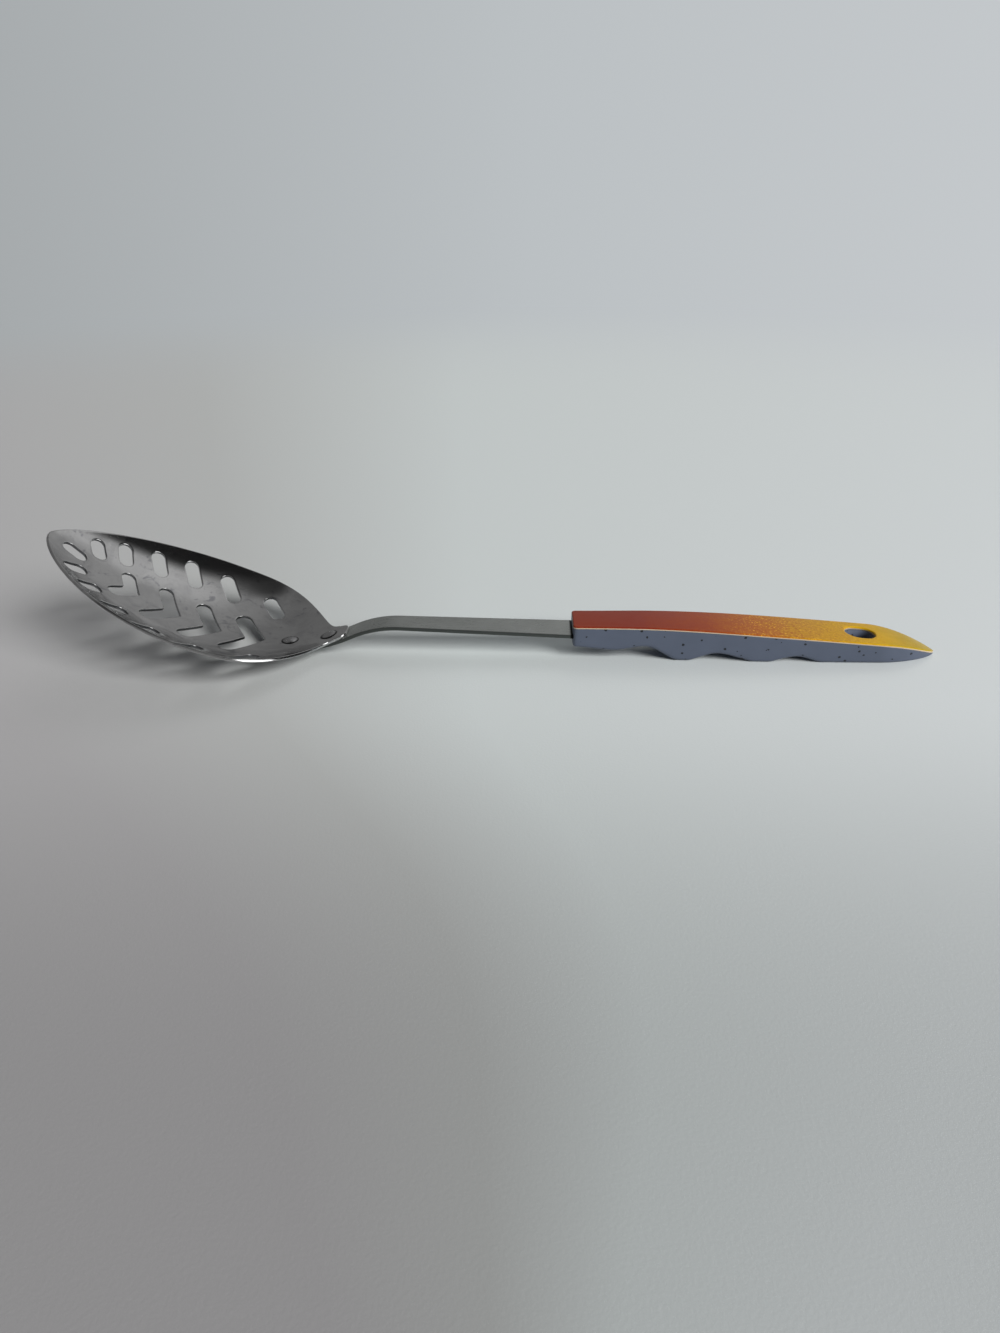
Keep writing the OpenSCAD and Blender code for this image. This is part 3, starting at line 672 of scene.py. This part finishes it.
def gripHalfWidth(x):
    g, r = grip, grip["cornerRadius"]
    d = np.clip(gripFront + r - x, 0, r)
    flared = (g["frontWidth"] + (g["width"] - g["frontWidth"]) * ease((x - gripFront) / g["flare"])) / 2
    nose = (1 - np.minimum(noseShare(x), 1) ** g["nosePower"]) ** g["noseRoot"]
    return np.maximum(g["noseEnd"] / 2, (flared - r + np.sqrt(r * r - d * d)) * nose)


def undersideZ(x):
    u, z = x - gripFront, np.zeros(len(x))
    for (a, low), (b, high) in zip(grip["underside"], grip["underside"][1:]):
        here = (u >= a) & (u <= b)
        z[here] = low + (high - low) * ease((u[here] - a) / (b - a))
    return np.maximum(z - grip["soleCut"], 0)


def gripLoops():  # the grip's outline and its hanging hole
    hole = slotLoop(grip["holeLength"], grip["holeWidth"], 90) + [gripEnd - grip["holeFromEnd"], 0]
    outline = mirrored(gripFront, gripEnd - gripFront, gripHalfWidth, grip["outlineStep"])
    return [outline, spaced(hole, grip["holeStep"])]


def insetLoop(loop, inset):  # moves a loop into the material, by a distance at each point
    return loop - outwards(loop) * np.reshape(inset, (-1, 1))


def makeGripBody(material):
    g = grip

    def holeRows(loop):  # the hanging hole goes straight down, with a rounded lower rim
        top, low, r = seamZ(loop[:, 0]), undersideZ(loop[:, 0]), g["holeRounding"]
        rows = [(insetLoop(loop, g["holeSupport"]), top, 0), (loop, top, 0), (loop, (top + low) / 2, 0)]
        for a in map(math.radians, g["holeTurns"]):
            rows.append((insetLoop(loop, r * (1 - math.cos(a))), low + r * (1 - math.sin(a)), 0))
        return rows + [(insetLoop(loop, r + g["holeSupport"]), low, 0)]

    def rowsOf(k, loop):
        if k == 1:
            return holeRows(loop)
        x = loop[:, 0]
        top, low, half = seamZ(x), undersideZ(x), gripHalfWidth(x)
        full = 1 - g["noseCrisp"] * np.minimum(noseShare(x), 1)
        r = np.minimum(np.minimum(g["soleRounding"] * full, half / 2), (top - low) / 2)
        lean = np.tan(np.radians(g["draft"] * full)) * np.abs(outwards(loop)[:, 1])
        groove = np.minimum(g["seamGroove"], r / 3)
        rows = [(insetLoop(loop, groove * g["grooveFoot"]), top, 0), (insetLoop(loop, groove), top, 0)]
        rows.append((insetLoop(loop, groove * g["grooveLip"]), top - groove * g["grooveLip"], 0))
        wall = top - groove - low - r
        for share in g["wallRows"]:
            rows.append((insetLoop(loop, lean * (groove + wall * share)), top - groove - wall * share, 0))
        foot = lean * (groove + wall)
        for a in map(math.radians, g["soleTurns"]):
            rows.append((insetLoop(loop, foot + r * (1 - math.cos(a))), low + r * (1 - math.sin(a)), 0))
        flat = foot + np.minimum(r * g["soleShare"], half * g["soleMost"])
        return rows + [(insetLoop(loop, flat), low, 0)]
    points, faces, _ = closedShell(
        gripLoops(), rowsOf, lambda p: seamZ(p[:, 0]), lambda p: undersideZ(p[:, 0]), g["pointStep"])
    return addPiece("gripBody", makeMesh("gripBody", points, faces), material, ["grip_body"])


def capTop(flat):
    half = gripHalfWidth(flat[:, 0])
    t = np.clip(np.abs(flat[:, 1]) / half, 0, 1)
    return seamZ(flat[:, 0]) + grip["capSide"] + grip["capCrown"] * (1 - t * t) * 2 * half / grip["width"]


def makeGripCap(material):
    g = grip

    def rowsOf(k, loop):
        half = gripHalfWidth(loop[:, 0])
        r = np.full(len(loop), g["holeRounding"]) if k else np.minimum(g["capRounding"], half / 2)
        seam, groove = seamZ(loop[:, 0]), g["seamGroove"]
        inner = insetLoop(loop, r * g["capShare"])
        rows = [(inner, capTop(inner), 0)]
        for degrees in g["capTurns"]:
            a = math.radians(degrees)
            z = capTop(insetLoop(loop, r)) - r * (1 - math.cos(a))
            rows.append((insetLoop(loop, r * (1 - math.sin(a))), z, degrees / 90))
        rows += [(loop, seam + groove, 1), (insetLoop(loop, groove), seam, 1)]
        return rows + [(insetLoop(loop, groove * g["grooveFoot"]), seam, 1)]
    points, faces, share = closedShell(gripLoops(), rowsOf, capTop, lambda p: seamZ(p[:, 0]), g["pointStep"])
    mesh = makeMesh("gripCap", points, faces, {"edge": share})
    return addPiece("gripCap", mesh, material, ["grip_cap"])


# Materials. A value that ends in Range takes a pattern from its first two numbers to its last two.

soft = {"interpolation_type": "SMOOTHSTEP"}
firstColour, secondColour = 6, 7  # the colour sockets of a mix node


def newMaterial(name, **settings):
    material = bpy.data.materials.new(name)
    material.use_nodes = True
    shader = material.node_tree.nodes["Principled BSDF"]
    for key, value in settings.items():
        shader.inputs[key.replace("_", " ")].default_value = value
    print("material", name)
    return material, partial(addNode, material.node_tree), shader


def objectPlace(add, stretch=(1, 1, 1)):  # Object coordinates in millimetres, squeezed along an axis
    place = add("TexCoord").outputs["Object"]
    return add("VectorMath MULTIPLY", [place, [share / mm for share in stretch]])


def dress(node, links):  # joins finished values to the sockets of a node that is already there
    for key, value in links.items():
        node.id_data.links.new(usedSocket(value), node.inputs[key])


pressedSteel = {
    "colour": "#cbcbcb", "smudge": "#b4b4b5", "stain": "#8f9096", "shearedAndShaded": "#77787a", "paintedShade": "#1d1d1e",
    "cloudSize": 13, "cloudRange": (0.42, 0.7, 0.0, 0.8),
    "streakSize": 4, "streakRange": (0.5, 0.75, 0.0, 0.4),
    "stainSize": 5, "stainRange": (0.56, 0.7, 0.0, 0.75),
    "scratchWidth": 0.2, "scratchLength": 9, "scratchRange": (0.62, 0.72, 0.0, 0.5),
    "roughRange": (0.0, 1.0, 0.12, 0.19), "cutRange": (0.7, 1.0, 0.0, 1.0), "cutRough": 0.3,
    "grainSize": 0.35, "grainDepth": 0.004,
    # water rings that dried on the sheet, as distance from the tip, from the centre line, and radius
    "rings": [(12.5, 7.5, 2.6), (63, 5, 3.4)], "ringWidth": 0.5, "paintedShadeWidth": 0.5, "ringShare": 0.9,
}


def makePressedSteel():
    # Stainless sheet, pressed and then buffed: broad clear reflections, a little cloudy where hands
    # and water have dulled it, with darker stains, faint dried rings, duller sheared edges that are partly
    # painted shade, and painted shade round each rivet head
    s = pressedSteel
    material, add, shader = newMaterial("pressedSteel", Metallic=1.0)
    place = objectPlace(add)
    clouds = add("TexNoise", {
        "Vector": place, "Scale": 1 / s["cloudSize"], "Detail": 4.0, "Roughness": 0.62, "Distortion": 0.6})
    streaks = add("TexNoise", {
        "Vector": place, "Scale": 1 / s["streakSize"], "Detail": 3.0, "Roughness": 0.6, "Distortion": 1.2})
    long = objectPlace(add, (s["scratchWidth"] / s["scratchLength"], 1, 1))
    scratches = add("TexNoise", {"Vector": long, "Scale": 0.5 / s["scratchWidth"], "Detail": 2.0})
    dull = 0.0
    for pattern, span in ((clouds, "cloudRange"), (streaks, "streakRange"), (scratches, "scratchRange")):
        pattern = add("MapRange", [pattern, *s[span]], **soft)
        dull = add("Math MAXIMUM", [dull, pattern])
    paintedShade = 0.0  # painted shade round the heads of the rivets, where they sit on the sheet
    rings = [(tipX + fromTip, aside, radius, s["ringWidth"]) for fromTip, aside, radius in s["rings"]]
    rings += [(x, 0, rivetSizes["headWidth"] / 2, s["paintedShadeWidth"]) for x in rivetXs]
    for x, aside, radius, wide in rings:
        gap = add("VectorMath SUBTRACT", [place, (x, aside, 0)])
        gap = add("VectorMath MULTIPLY", [gap, (1, 1, 0)])
        gap = add("VectorMath LENGTH", [gap])
        gap = add("Math SUBTRACT", [gap, radius])
        gap = add("Math ABSOLUTE", [gap])
        ring = add("MapRange", [gap, 0.0, wide, s["ringShare"], 0.0], **soft)
        if x in rivetXs:
            paintedShade = add("Math MAXIMUM", [paintedShade, ring])
        else:
            dull = add("Math MAXIMUM", [dull, ring])
    stain = add("TexNoise", {
        "Vector": place, "Scale": 1 / s["stainSize"], "Detail": 4.0, "Roughness": 0.65, "Distortion": 0.8})
    stain = add("MapRange", [stain, *s["stainRange"]], **soft)
    # the sheared walls of the openings are darker: partly their duller sheared finish, partly painted shade
    cut = add("Attribute", attribute_name="edge").outputs["Fac"]
    cut = add("MapRange", [cut, *s["cutRange"]])
    colour = linear(s["colour"])
    for share, over in ((dull, "smudge"), (stain, "stain"), (paintedShade, "paintedShade"), (cut, "shearedAndShaded")):
        colour = add("Mix", {
            0: share, firstColour: colour, secondColour: linear(s[over])}, data_type="RGBA")
    rough = add("MapRange", [dull, *s["roughRange"]])
    cutRough = add("Math MULTIPLY", [cut, s["cutRough"]])
    rough = add("Math MAXIMUM", [rough, cutRough])
    grain = add("TexNoise", {
        "Vector": place, "Scale": 1 / s["grainSize"], "Detail": 3.0, "Roughness": 0.7})
    bump = add("Bump", {"Height": grain, "Distance": s["grainDepth"] * mm})
    dress(shader, {"Base Color": colour, "Roughness": rough, "Normal": bump})
    return material


stripSteel = {
    "colour": "#cdd1ce", "dark": "#bdc1be", "shearedAndShaded": "#565957", "paintedShade": "#121313",
    "grainWidth": 0.12, "grainLength": 9, "grainDepth": 0.003, "roughRange": (0.3, 0.7, 0.25, 0.4),
    "cloudSize": 14, "toneRange": (0.7, 1.3, 0.0, 1.0),
    "paintedShadeFrom": 1.1, "paintedShadeTo": 0.5,  # painted shadow where the strip goes into the grip, just in front of the grip
}


def makeStripSteel():
    # Flat stainless strip, belt ground along its length: a grey with a faint green cast, fine
    # lines that run along the spoon, darker sheared sides that are partly painted shade, and painted shadow
    # where it enters the grip
    s = stripSteel
    material, add, shader = newMaterial("stripSteel", Metallic=1.0)
    lines = objectPlace(add, (s["grainWidth"] / s["grainLength"], 1, 1))
    grain = add("TexNoise", {
        "Vector": lines, "Scale": 0.5 / s["grainWidth"], "Detail": 2.0, "Roughness": 0.6})
    place = objectPlace(add)
    clouds = add("TexNoise", {"Vector": place, "Scale": 1 / s["cloudSize"], "Detail": 2.0})
    tone = add("Math ADD", [grain, clouds])
    tone = add("MapRange", [tone, *s["toneRange"]])
    # the sheared sides are darker: partly their duller sheared finish, partly painted shade on the sides
    cut = add("Attribute", attribute_name="edge").outputs["Fac"]
    x = add("SeparateXYZ", [place]).outputs["X"]
    # painted shadow in the mouth of the grip, just in front of it
    paintedShade = add("MapRange", [
        x, gripFront - s["paintedShadeFrom"], gripFront - s["paintedShadeTo"], 0.0, 1.0], **soft)
    colour = linear(s["dark"])
    for share, over in ((tone, "colour"), (cut, "shearedAndShaded"), (paintedShade, "paintedShade")):
        colour = add("Mix", {
            0: share, firstColour: colour, secondColour: linear(s[over])}, data_type="RGBA")
    rough = add("MapRange", [grain, *s["roughRange"]])
    bump = add("Bump", {"Height": grain, "Distance": s["grainDepth"] * mm})
    dress(shader, {"Base Color": colour, "Roughness": rough, "Normal": bump})
    return material


rivetSteel = {
    "colour": "#b4b4b5", "paintedShade": "#1f1f20", "wearSize": 1.2, "wearDepth": 0.01,
    "roughRange": (0.35, 0.7, 0.2, 0.36),
}


def makeRivetSteel():
    # Stainless wire, headed cold: smooth domes with a few small tool marks, and a dark line of
    # painted shade round the foot of each head
    s = rivetSteel
    material, add, shader = newMaterial("rivetSteel", Metallic=1.0)
    wear = add("TexNoise", {
        "Vector": objectPlace(add), "Scale": 1 / s["wearSize"], "Detail": 3.0, "Roughness": 0.6})
    rough = add("MapRange", [wear, *s["roughRange"]])
    # a painted line of shade round the foot of each head, where it meets the sheet
    foot = add("Attribute", attribute_name="foot").outputs["Fac"]
    colour = add("Mix", {
        0: foot, firstColour: linear(s["colour"]), secondColour: linear(s["paintedShade"])}, data_type="RGBA")
    bump = add("Bump", {"Height": wear, "Distance": s["wearDepth"] * mm})
    dress(shader, {"Base Color": colour, "Roughness": rough, "Normal": bump})
    return material


slatePlastic = {
    "colour": "#4e5667", "pale": "#565e70", "speck": "#14161c", "roughness": 0.5, "cloudSize": 6,
    "speckSpacing": 2.3, "speckRadius": 0.62, "speckShare": 0.65,
    "raggedSize": 0.625, "ragged": 0.5,  # makes the specks uneven
    "grainSize": 0.5, "grainDepth": 0.02,
}


def makeSlatePlastic():
    # Moulded polypropylene with a fine spark finish: an even slate blue, slightly dull, with
    # sparse dark flecks of pigment, one to a cell of the pattern at most
    s = slatePlastic
    material, add, shader = newMaterial("slatePlastic", Roughness=s["roughness"])
    place = objectPlace(add)
    clouds = add("TexNoise", {
        "Vector": place, "Scale": 1 / s["cloudSize"], "Detail": 3.0})
    colour = add("Mix", {
        0: clouds, firstColour: linear(s["colour"]), secondColour: linear(s["pale"])}, data_type="RGBA")
    ragged = add("TexNoise", {
        "Vector": place, "Scale": 1 / s["raggedSize"], "Detail": 1.0}).outputs["Color"]
    ragged = add("VectorMath SCALE", {0: ragged, "Scale": s["ragged"]})
    ragged = add("VectorMath ADD", [place, ragged])
    cells = add("TexVoronoi", {
        "Vector": ragged, "Scale": 1 / s["speckSpacing"], "Randomness": 1.0})
    chosen = add("SeparateColor", [cells.outputs["Color"]])
    size = add("MapRange", [
        chosen, 1 - s["speckShare"], 1.0, 0.0, s["speckRadius"] / s["speckSpacing"]])
    fleck = add("Math LESS_THAN", [cells, size])
    colour = add("Mix", {
        0: fleck, firstColour: colour, secondColour: linear(s["speck"])}, data_type="RGBA")
    grain = add("TexNoise", {"Vector": place, "Scale": 1 / s["grainSize"], "Detail": 2.0})
    bump = add("Bump", {"Height": grain, "Distance": s["grainDepth"] * mm})
    dress(shader, {"Base Color": colour, "Normal": bump})
    return material


printedPlastic = {
    "cream": "#cbb9a0", "flecks": "#dba42c", "rust": "#92401c",
    # printed colours as distance from the grip's front in millimetres
    "print": [(0, "#7d2d17"), (26, "#7d2c1b"), (50, "#8c3c18"), (73, "#a65f1c"), (89, "#b4821a"),
              (101, "#bb8d18"), (116, "#c79d08"), (130, "#ac8f0c"), (141, "#a68f10")],
    # the sponge moves the colours along the grip, by up to these distances
    "cloudSize": 7, "cloudDriftRange": (0.25, 0.75, -6, 6),
    "fleckSize": 0.9, "fleckDriftRange": (0.25, 0.75, -7, 7),
    # flecks show between these distances from the front, and less towards the last
    "fleckFrom": 56, "fleckFull": 72, "fleckTo": 128, "fleckLeast": 0.35,
    "fleckRange": (0.55, 0.64, 0.0, 0.85), "rustRange": (0.45, 0.36, 0.0, 0.6),
    "bareRange": (0.86, 0.96, 0.0, 1.0), "roughRange": (0.3, 0.7, 0.31, 0.44), "grainDepth": 0.006,
    "shine": 0.12, "lacquer": 0.3, "lacquerRoughness": 0.15,
}


def makePrintedPlastic():
    # Cream ABS, sponge printed on top and lacquered thinly: brick red at the front goes over to
    # amber and yellow through fine flecks, and the unprinted cream shows along the lower edge
    s = printedPlastic
    material, add, shader = newMaterial(
        "printedPlastic", Specular_IOR_Level=s["shine"],
        Coat_Weight=s["lacquer"], Coat_Roughness=s["lacquerRoughness"])
    place = objectPlace(add)
    x = add("SeparateXYZ", [place]).outputs["X"]
    clouds = add("TexNoise", {
        "Vector": place, "Scale": 1 / s["cloudSize"], "Detail": 4.0, "Roughness": 0.6})
    grain = add("TexNoise", {
        "Vector": place, "Scale": 1 / s["fleckSize"], "Detail": 3.0, "Roughness": 0.7})
    drift = x
    for pattern, reach in ((clouds, "cloudDriftRange"), (grain, "fleckDriftRange")):
        step = add("MapRange", [pattern, *s[reach]])
        drift = add("Math ADD", [drift, step])
    along = add("MapRange", [drift, gripFront, gripEnd, 0.0, 1.0])
    stops = [(at / (gripEnd - gripFront), colour) for at, colour in s["print"]]
    colour = add("ValToRGB", [along], stops)
    start, full, end = (gripFront + s[name] for name in ("fleckFrom", "fleckFull", "fleckTo"))
    starts = add("MapRange", [x, start, full, 0.0, 1.0], **soft)
    ends = add("MapRange", [x, full, end, 1.0, s["fleckLeast"]], **soft)
    window = add("Math MULTIPLY", [starts, ends])
    for span, over in (("fleckRange", "flecks"), ("rustRange", "rust")):
        share = add("MapRange", [grain, *s[span]], **soft)
        share = add("Math MULTIPLY", [share, window])
        colour = add("Mix", {
            0: share, firstColour: colour, secondColour: linear(s[over])}, data_type="RGBA")
    bare = add("Attribute", attribute_name="edge").outputs["Fac"]
    bare = add("MapRange", [bare, *s["bareRange"]])
    colour = add("Mix", {
        0: bare, firstColour: colour, secondColour: linear(s["cream"])}, data_type="RGBA")
    rough = add("MapRange", [clouds, *s["roughRange"]])
    bump = add("Bump", {"Height": grain, "Distance": s["grainDepth"] * mm})
    dress(shader, {"Base Color": colour, "Roughness": rough, "Normal": bump})
    return material


makeBowl(makePressedSteel())
makeShank(makeStripSteel())
makeRivets(makeRivetSteel())
makeGripBody(makeSlatePlastic())
makeGripCap(makePrintedPlastic())


# Camera at the photograph's place, from the solved view

view = {  # its place in millimetres, angles in degrees, clip in metres, the rest in pixels
    "place": (10.59, -300.9, 152.0), "down": 27.846, "turn": -1.967, "roll": -0.562,
    "focal": 845.9, "imageWidth": 1000, "clip": (0.01, 50),
}


def addCamera():
    down, turn, roll = (math.radians(view[key]) for key in ("down", "turn", "roll"))
    ahead = Vector((math.sin(turn) * math.cos(down), math.cos(turn) * math.cos(down), -math.sin(down)))
    level = Vector((math.cos(turn), -math.sin(turn), 0))
    over = level.cross(ahead)
    right = level * math.cos(roll) + over * math.sin(roll)
    up = over * math.cos(roll) - level * math.sin(roll)
    camera = bpy.data.cameras.new("camera")
    camera.sensor_fit = "HORIZONTAL"
    camera.lens = view["focal"] * camera.sensor_width / view["imageWidth"]
    camera.clip_start, camera.clip_end = view["clip"]
    holder = bpy.data.objects.new("camera", camera)
    holder.matrix_world = Matrix((right, up, -ahead)).transposed().to_4x4()
    holder.matrix_world.translation = Vector(view["place"]) * mm
    scene.collection.objects.link(holder)
    scene.camera = holder
    print("camera placed")


# Here a Range takes a part of a unit direction from its first two numbers to its last two
studio = {
    # wide soft windows, as turn from +Y towards +X and height, both in degrees, apparent width and
    # power: the main one on the right, towards the camera, and a weak one behind the spoon
    "windows": [(131, 33, 30, 3.95), (12, 44, 30, 0.33)], "windowColour": "#fffdf8",
    # how the main window looks in shiny metal, where this pane stands for it
    "paneAim": (118, 20), "paneWide": 19, "paneSoft": 0.02, "paneTone": 3.2,
    # what the room sends back from the left to the right, and a glow from behind on the right
    "sideRange": (-0.36, 0.28, 0.155, 0.335), "glowAim": (50, 48), "glowRange": (0.89, 1.0, 0.0, 0.23),
    # the lit part of the room ends on a plane through the spoon, and is darker right overhead
    "screenTurn": 0.53, "screenRange": (-0.2, 0.02, 0.0, 1.0), "zenithRange": (0.948, 0.995, 1.0, 0.1),
    "darkTone": 0.015,
    # the wall on the camera's side, which only shiny surfaces see
    "wallRange": (-0.75, -0.38, 0.2, 0.0),
    "backdrop": [(0.0, "#a5a9ab"), (0.5, "#bbc0c3"), (1.0, "#c6cacd")],
    "backdropRange": (-0.53, 0.53, 0.0, 1.0),
}
table = {  # lengths in metres, but for its grain in millimetres
    "half": 8, "roughness": 0.8, "shine": 0.25, "grainSize": 0.9, "grainDepth": 0.05,
    "fadeRange": (0.5, 1.5, 0.0, 1.0),  # distances from the spoon over which it becomes the backdrop
    # its painted light, in tones from left to right, spread over this range of slants to the view's own line
    "tones": [(0.0, "#adadb1"), (0.25, "#b4b7b9"), (0.45, "#cad1d4"), (1.0, "#d7dde2")],
    "slantRange": (-0.75, 0.75, 0.0, 1.0), "leastAway": 0.05,
    # its painted light is darker on the near side, and more so on the left
    "nearFrom": -0.03, "nearTo": -0.2, "nearTone": 0.7, "nearShift": 0.2,
    # and becomes even again away from the spoon, where another view may look
    "evenRange": (0.24, 0.55, 1.0, 0.0), "evenShare": 0.6,
}


def aim(turn, height):  # unit vector towards a place in the room
    turn, height = math.radians(turn), math.radians(height)
    return Vector((math.sin(turn) * math.cos(height), math.cos(turn) * math.cos(height), math.sin(height)))


def backdropColour(add, way):  # goes by the level part of a direction
    level = add("VectorMath MULTIPLY", [way, (1, 1, 0)])
    level = add("VectorMath NORMALIZE", [level])
    turn = add("SeparateXYZ", [level]).outputs["X"]
    turn = add("MapRange", [turn, *studio["backdropRange"]])
    return add("ValToRGB", [turn], studio["backdrop"])


def addWorld():
    s = studio
    world = bpy.data.worlds.new("studio")
    scene.world = world
    world.use_nodes = True
    add = partial(addNode, world.node_tree)
    way = add("TexCoord").outputs["Generated"]
    x, y, z = add("SeparateXYZ", [way]).outputs
    plane = add("Math MULTIPLY", [x, s["screenTurn"]])
    plane = add("Math SUBTRACT", [y, plane])
    lit = add("MapRange", [plane, *s["screenRange"]], **soft)
    shade = add("MapRange", [z, *s["zenithRange"]], **soft)
    lit = add("Math MULTIPLY", [lit, shade])
    side = add("MapRange", [x, *s["sideRange"]], **soft)
    near = add("VectorMath DOT_PRODUCT", [way, aim(*s["glowAim"])])
    glow = add("MapRange", [near, *s["glowRange"]], **soft)
    tone = add("Math ADD", [side, glow])
    tone = add("Math MULTIPLY", [tone, lit])
    tone = add("Math ADD", [tone, s["darkTone"]])
    pane = add("VectorMath DOT_PRODUCT", [way, aim(*s["paneAim"])])
    edge = math.cos(math.radians(s["paneWide"]))
    pane = add("MapRange", [pane, edge, edge + s["paneSoft"], 0.0, s["paneTone"]], **soft)
    wall = add("MapRange", [y, *s["wallRange"]], **soft)
    ray = add("LightPath")
    shiny = add("Math ADD", [pane, wall])
    shiny = add("Math MULTIPLY", [shiny, ray.outputs["Is Glossy Ray"]])
    tone = add("Math ADD", [tone, shiny])
    shown = add("Mix", {
        0: ray.outputs["Is Camera Ray"], firstColour: tone, secondColour: backdropColour(add, way),
    }, data_type="RGBA")
    dress(world.node_tree.nodes["Background"], {"Color": shown})
    for turn, height, wide, power in s["windows"]:
        sun = bpy.data.lights.new("window", "SUN")
        sun.energy, sun.angle, sun.color = power, math.radians(wide), linear(s["windowColour"])[:3]
        holder = bpy.data.objects.new("window", sun)
        holder.rotation_euler = aim(turn, height).to_track_quat("Z", "Y").to_euler()
        holder.visible_glossy = False  # the pane in the world stands for it in shiny metal
        scene.collection.objects.link(holder)
    print("world and windows made")


def addStage():
    # A matt laminate table top with a fine leather grain. The room's uneven light on it is painted
    # in places fixed on the table, laid out from the point below the photograph's camera. Its far
    # part goes over to the backdrop's colour, so that no horizon shows.
    t = table
    material, add, shader = newMaterial(
        "paleLaminate", Roughness=t["roughness"], Specular_IOR_Level=t["shine"])
    place = add("TexCoord").outputs["Object"]
    y = add("SeparateXYZ", [place]).outputs["Y"]
    foot = (view["place"][0] * mm, view["place"][1] * mm, 0)
    fromFoot = add("VectorMath SUBTRACT", [place, foot])
    aside, away, _ = add("SeparateXYZ", [fromFoot]).outputs
    away = add("Math MAXIMUM", [away, t["leastAway"]])
    slant = add("Math DIVIDE", [aside, away])
    share = add("MapRange", [slant, *t["slantRange"]])
    distance = add("VectorMath LENGTH", [place])
    close = add("MapRange", [distance, *t["evenRange"]], **soft)
    behind = add("MapRange", [y, t["nearTo"], 0.0, 0.0, 1.0], **soft)
    painted = add("Math MAXIMUM", [close, behind])
    share = add("Math SUBTRACT", [share, t["evenShare"]])
    share = add("Math MULTIPLY", [share, painted])
    share = add("Math ADD", [share, t["evenShare"]])
    near = add("MapRange", [y, t["nearTo"], t["nearFrom"], 1.0, 0.0], **soft)
    near = add("Math MULTIPLY", [near, close])
    shift = add("Math MULTIPLY", [near, t["nearShift"]])
    share = add("Math SUBTRACT", [share, shift])
    tone = add("ValToRGB", [share], t["tones"])
    near = add("MapRange", [near, 0.0, 1.0, 1.0, t["nearTone"]])
    tone = add("VectorMath SCALE", {0: tone, "Scale": near})
    grain = add("TexNoise", {
        "Vector": objectPlace(add), "Scale": 1 / t["grainSize"], "Detail": 3.0, "Roughness": 0.6})
    bump = add("Bump", {"Height": grain, "Distance": t["grainDepth"] * mm})
    dress(shader, {"Base Color": tone, "Normal": bump})
    far = add("MapRange", [distance, *t["fadeRange"]], **soft)
    seen = add("LightPath").outputs["Is Camera Ray"]
    far = add("Math MULTIPLY", [far, seen])
    glow = add("Emission", [backdropColour(add, fromFoot)])
    mixed = add("MixShader", [far, shader, glow])
    dress(shader.id_data.nodes["Material Output"], {"Surface": mixed})
    mesh = bpy.data.meshes.new("table")
    half = t["half"]
    corners = [(-half, -half, 0), (half, -half, 0), (half, half, 0), (-half, half, 0)]
    mesh.from_pydata(corners, [], [(0, 1, 2, 3)])
    mesh.materials.append(material)
    top = bpy.data.objects.new("table", mesh)
    scene.collection.objects.link(top)
    print("table made")


addCamera()
addWorld()
addStage()
scene.view_settings.view_transform = "Standard"
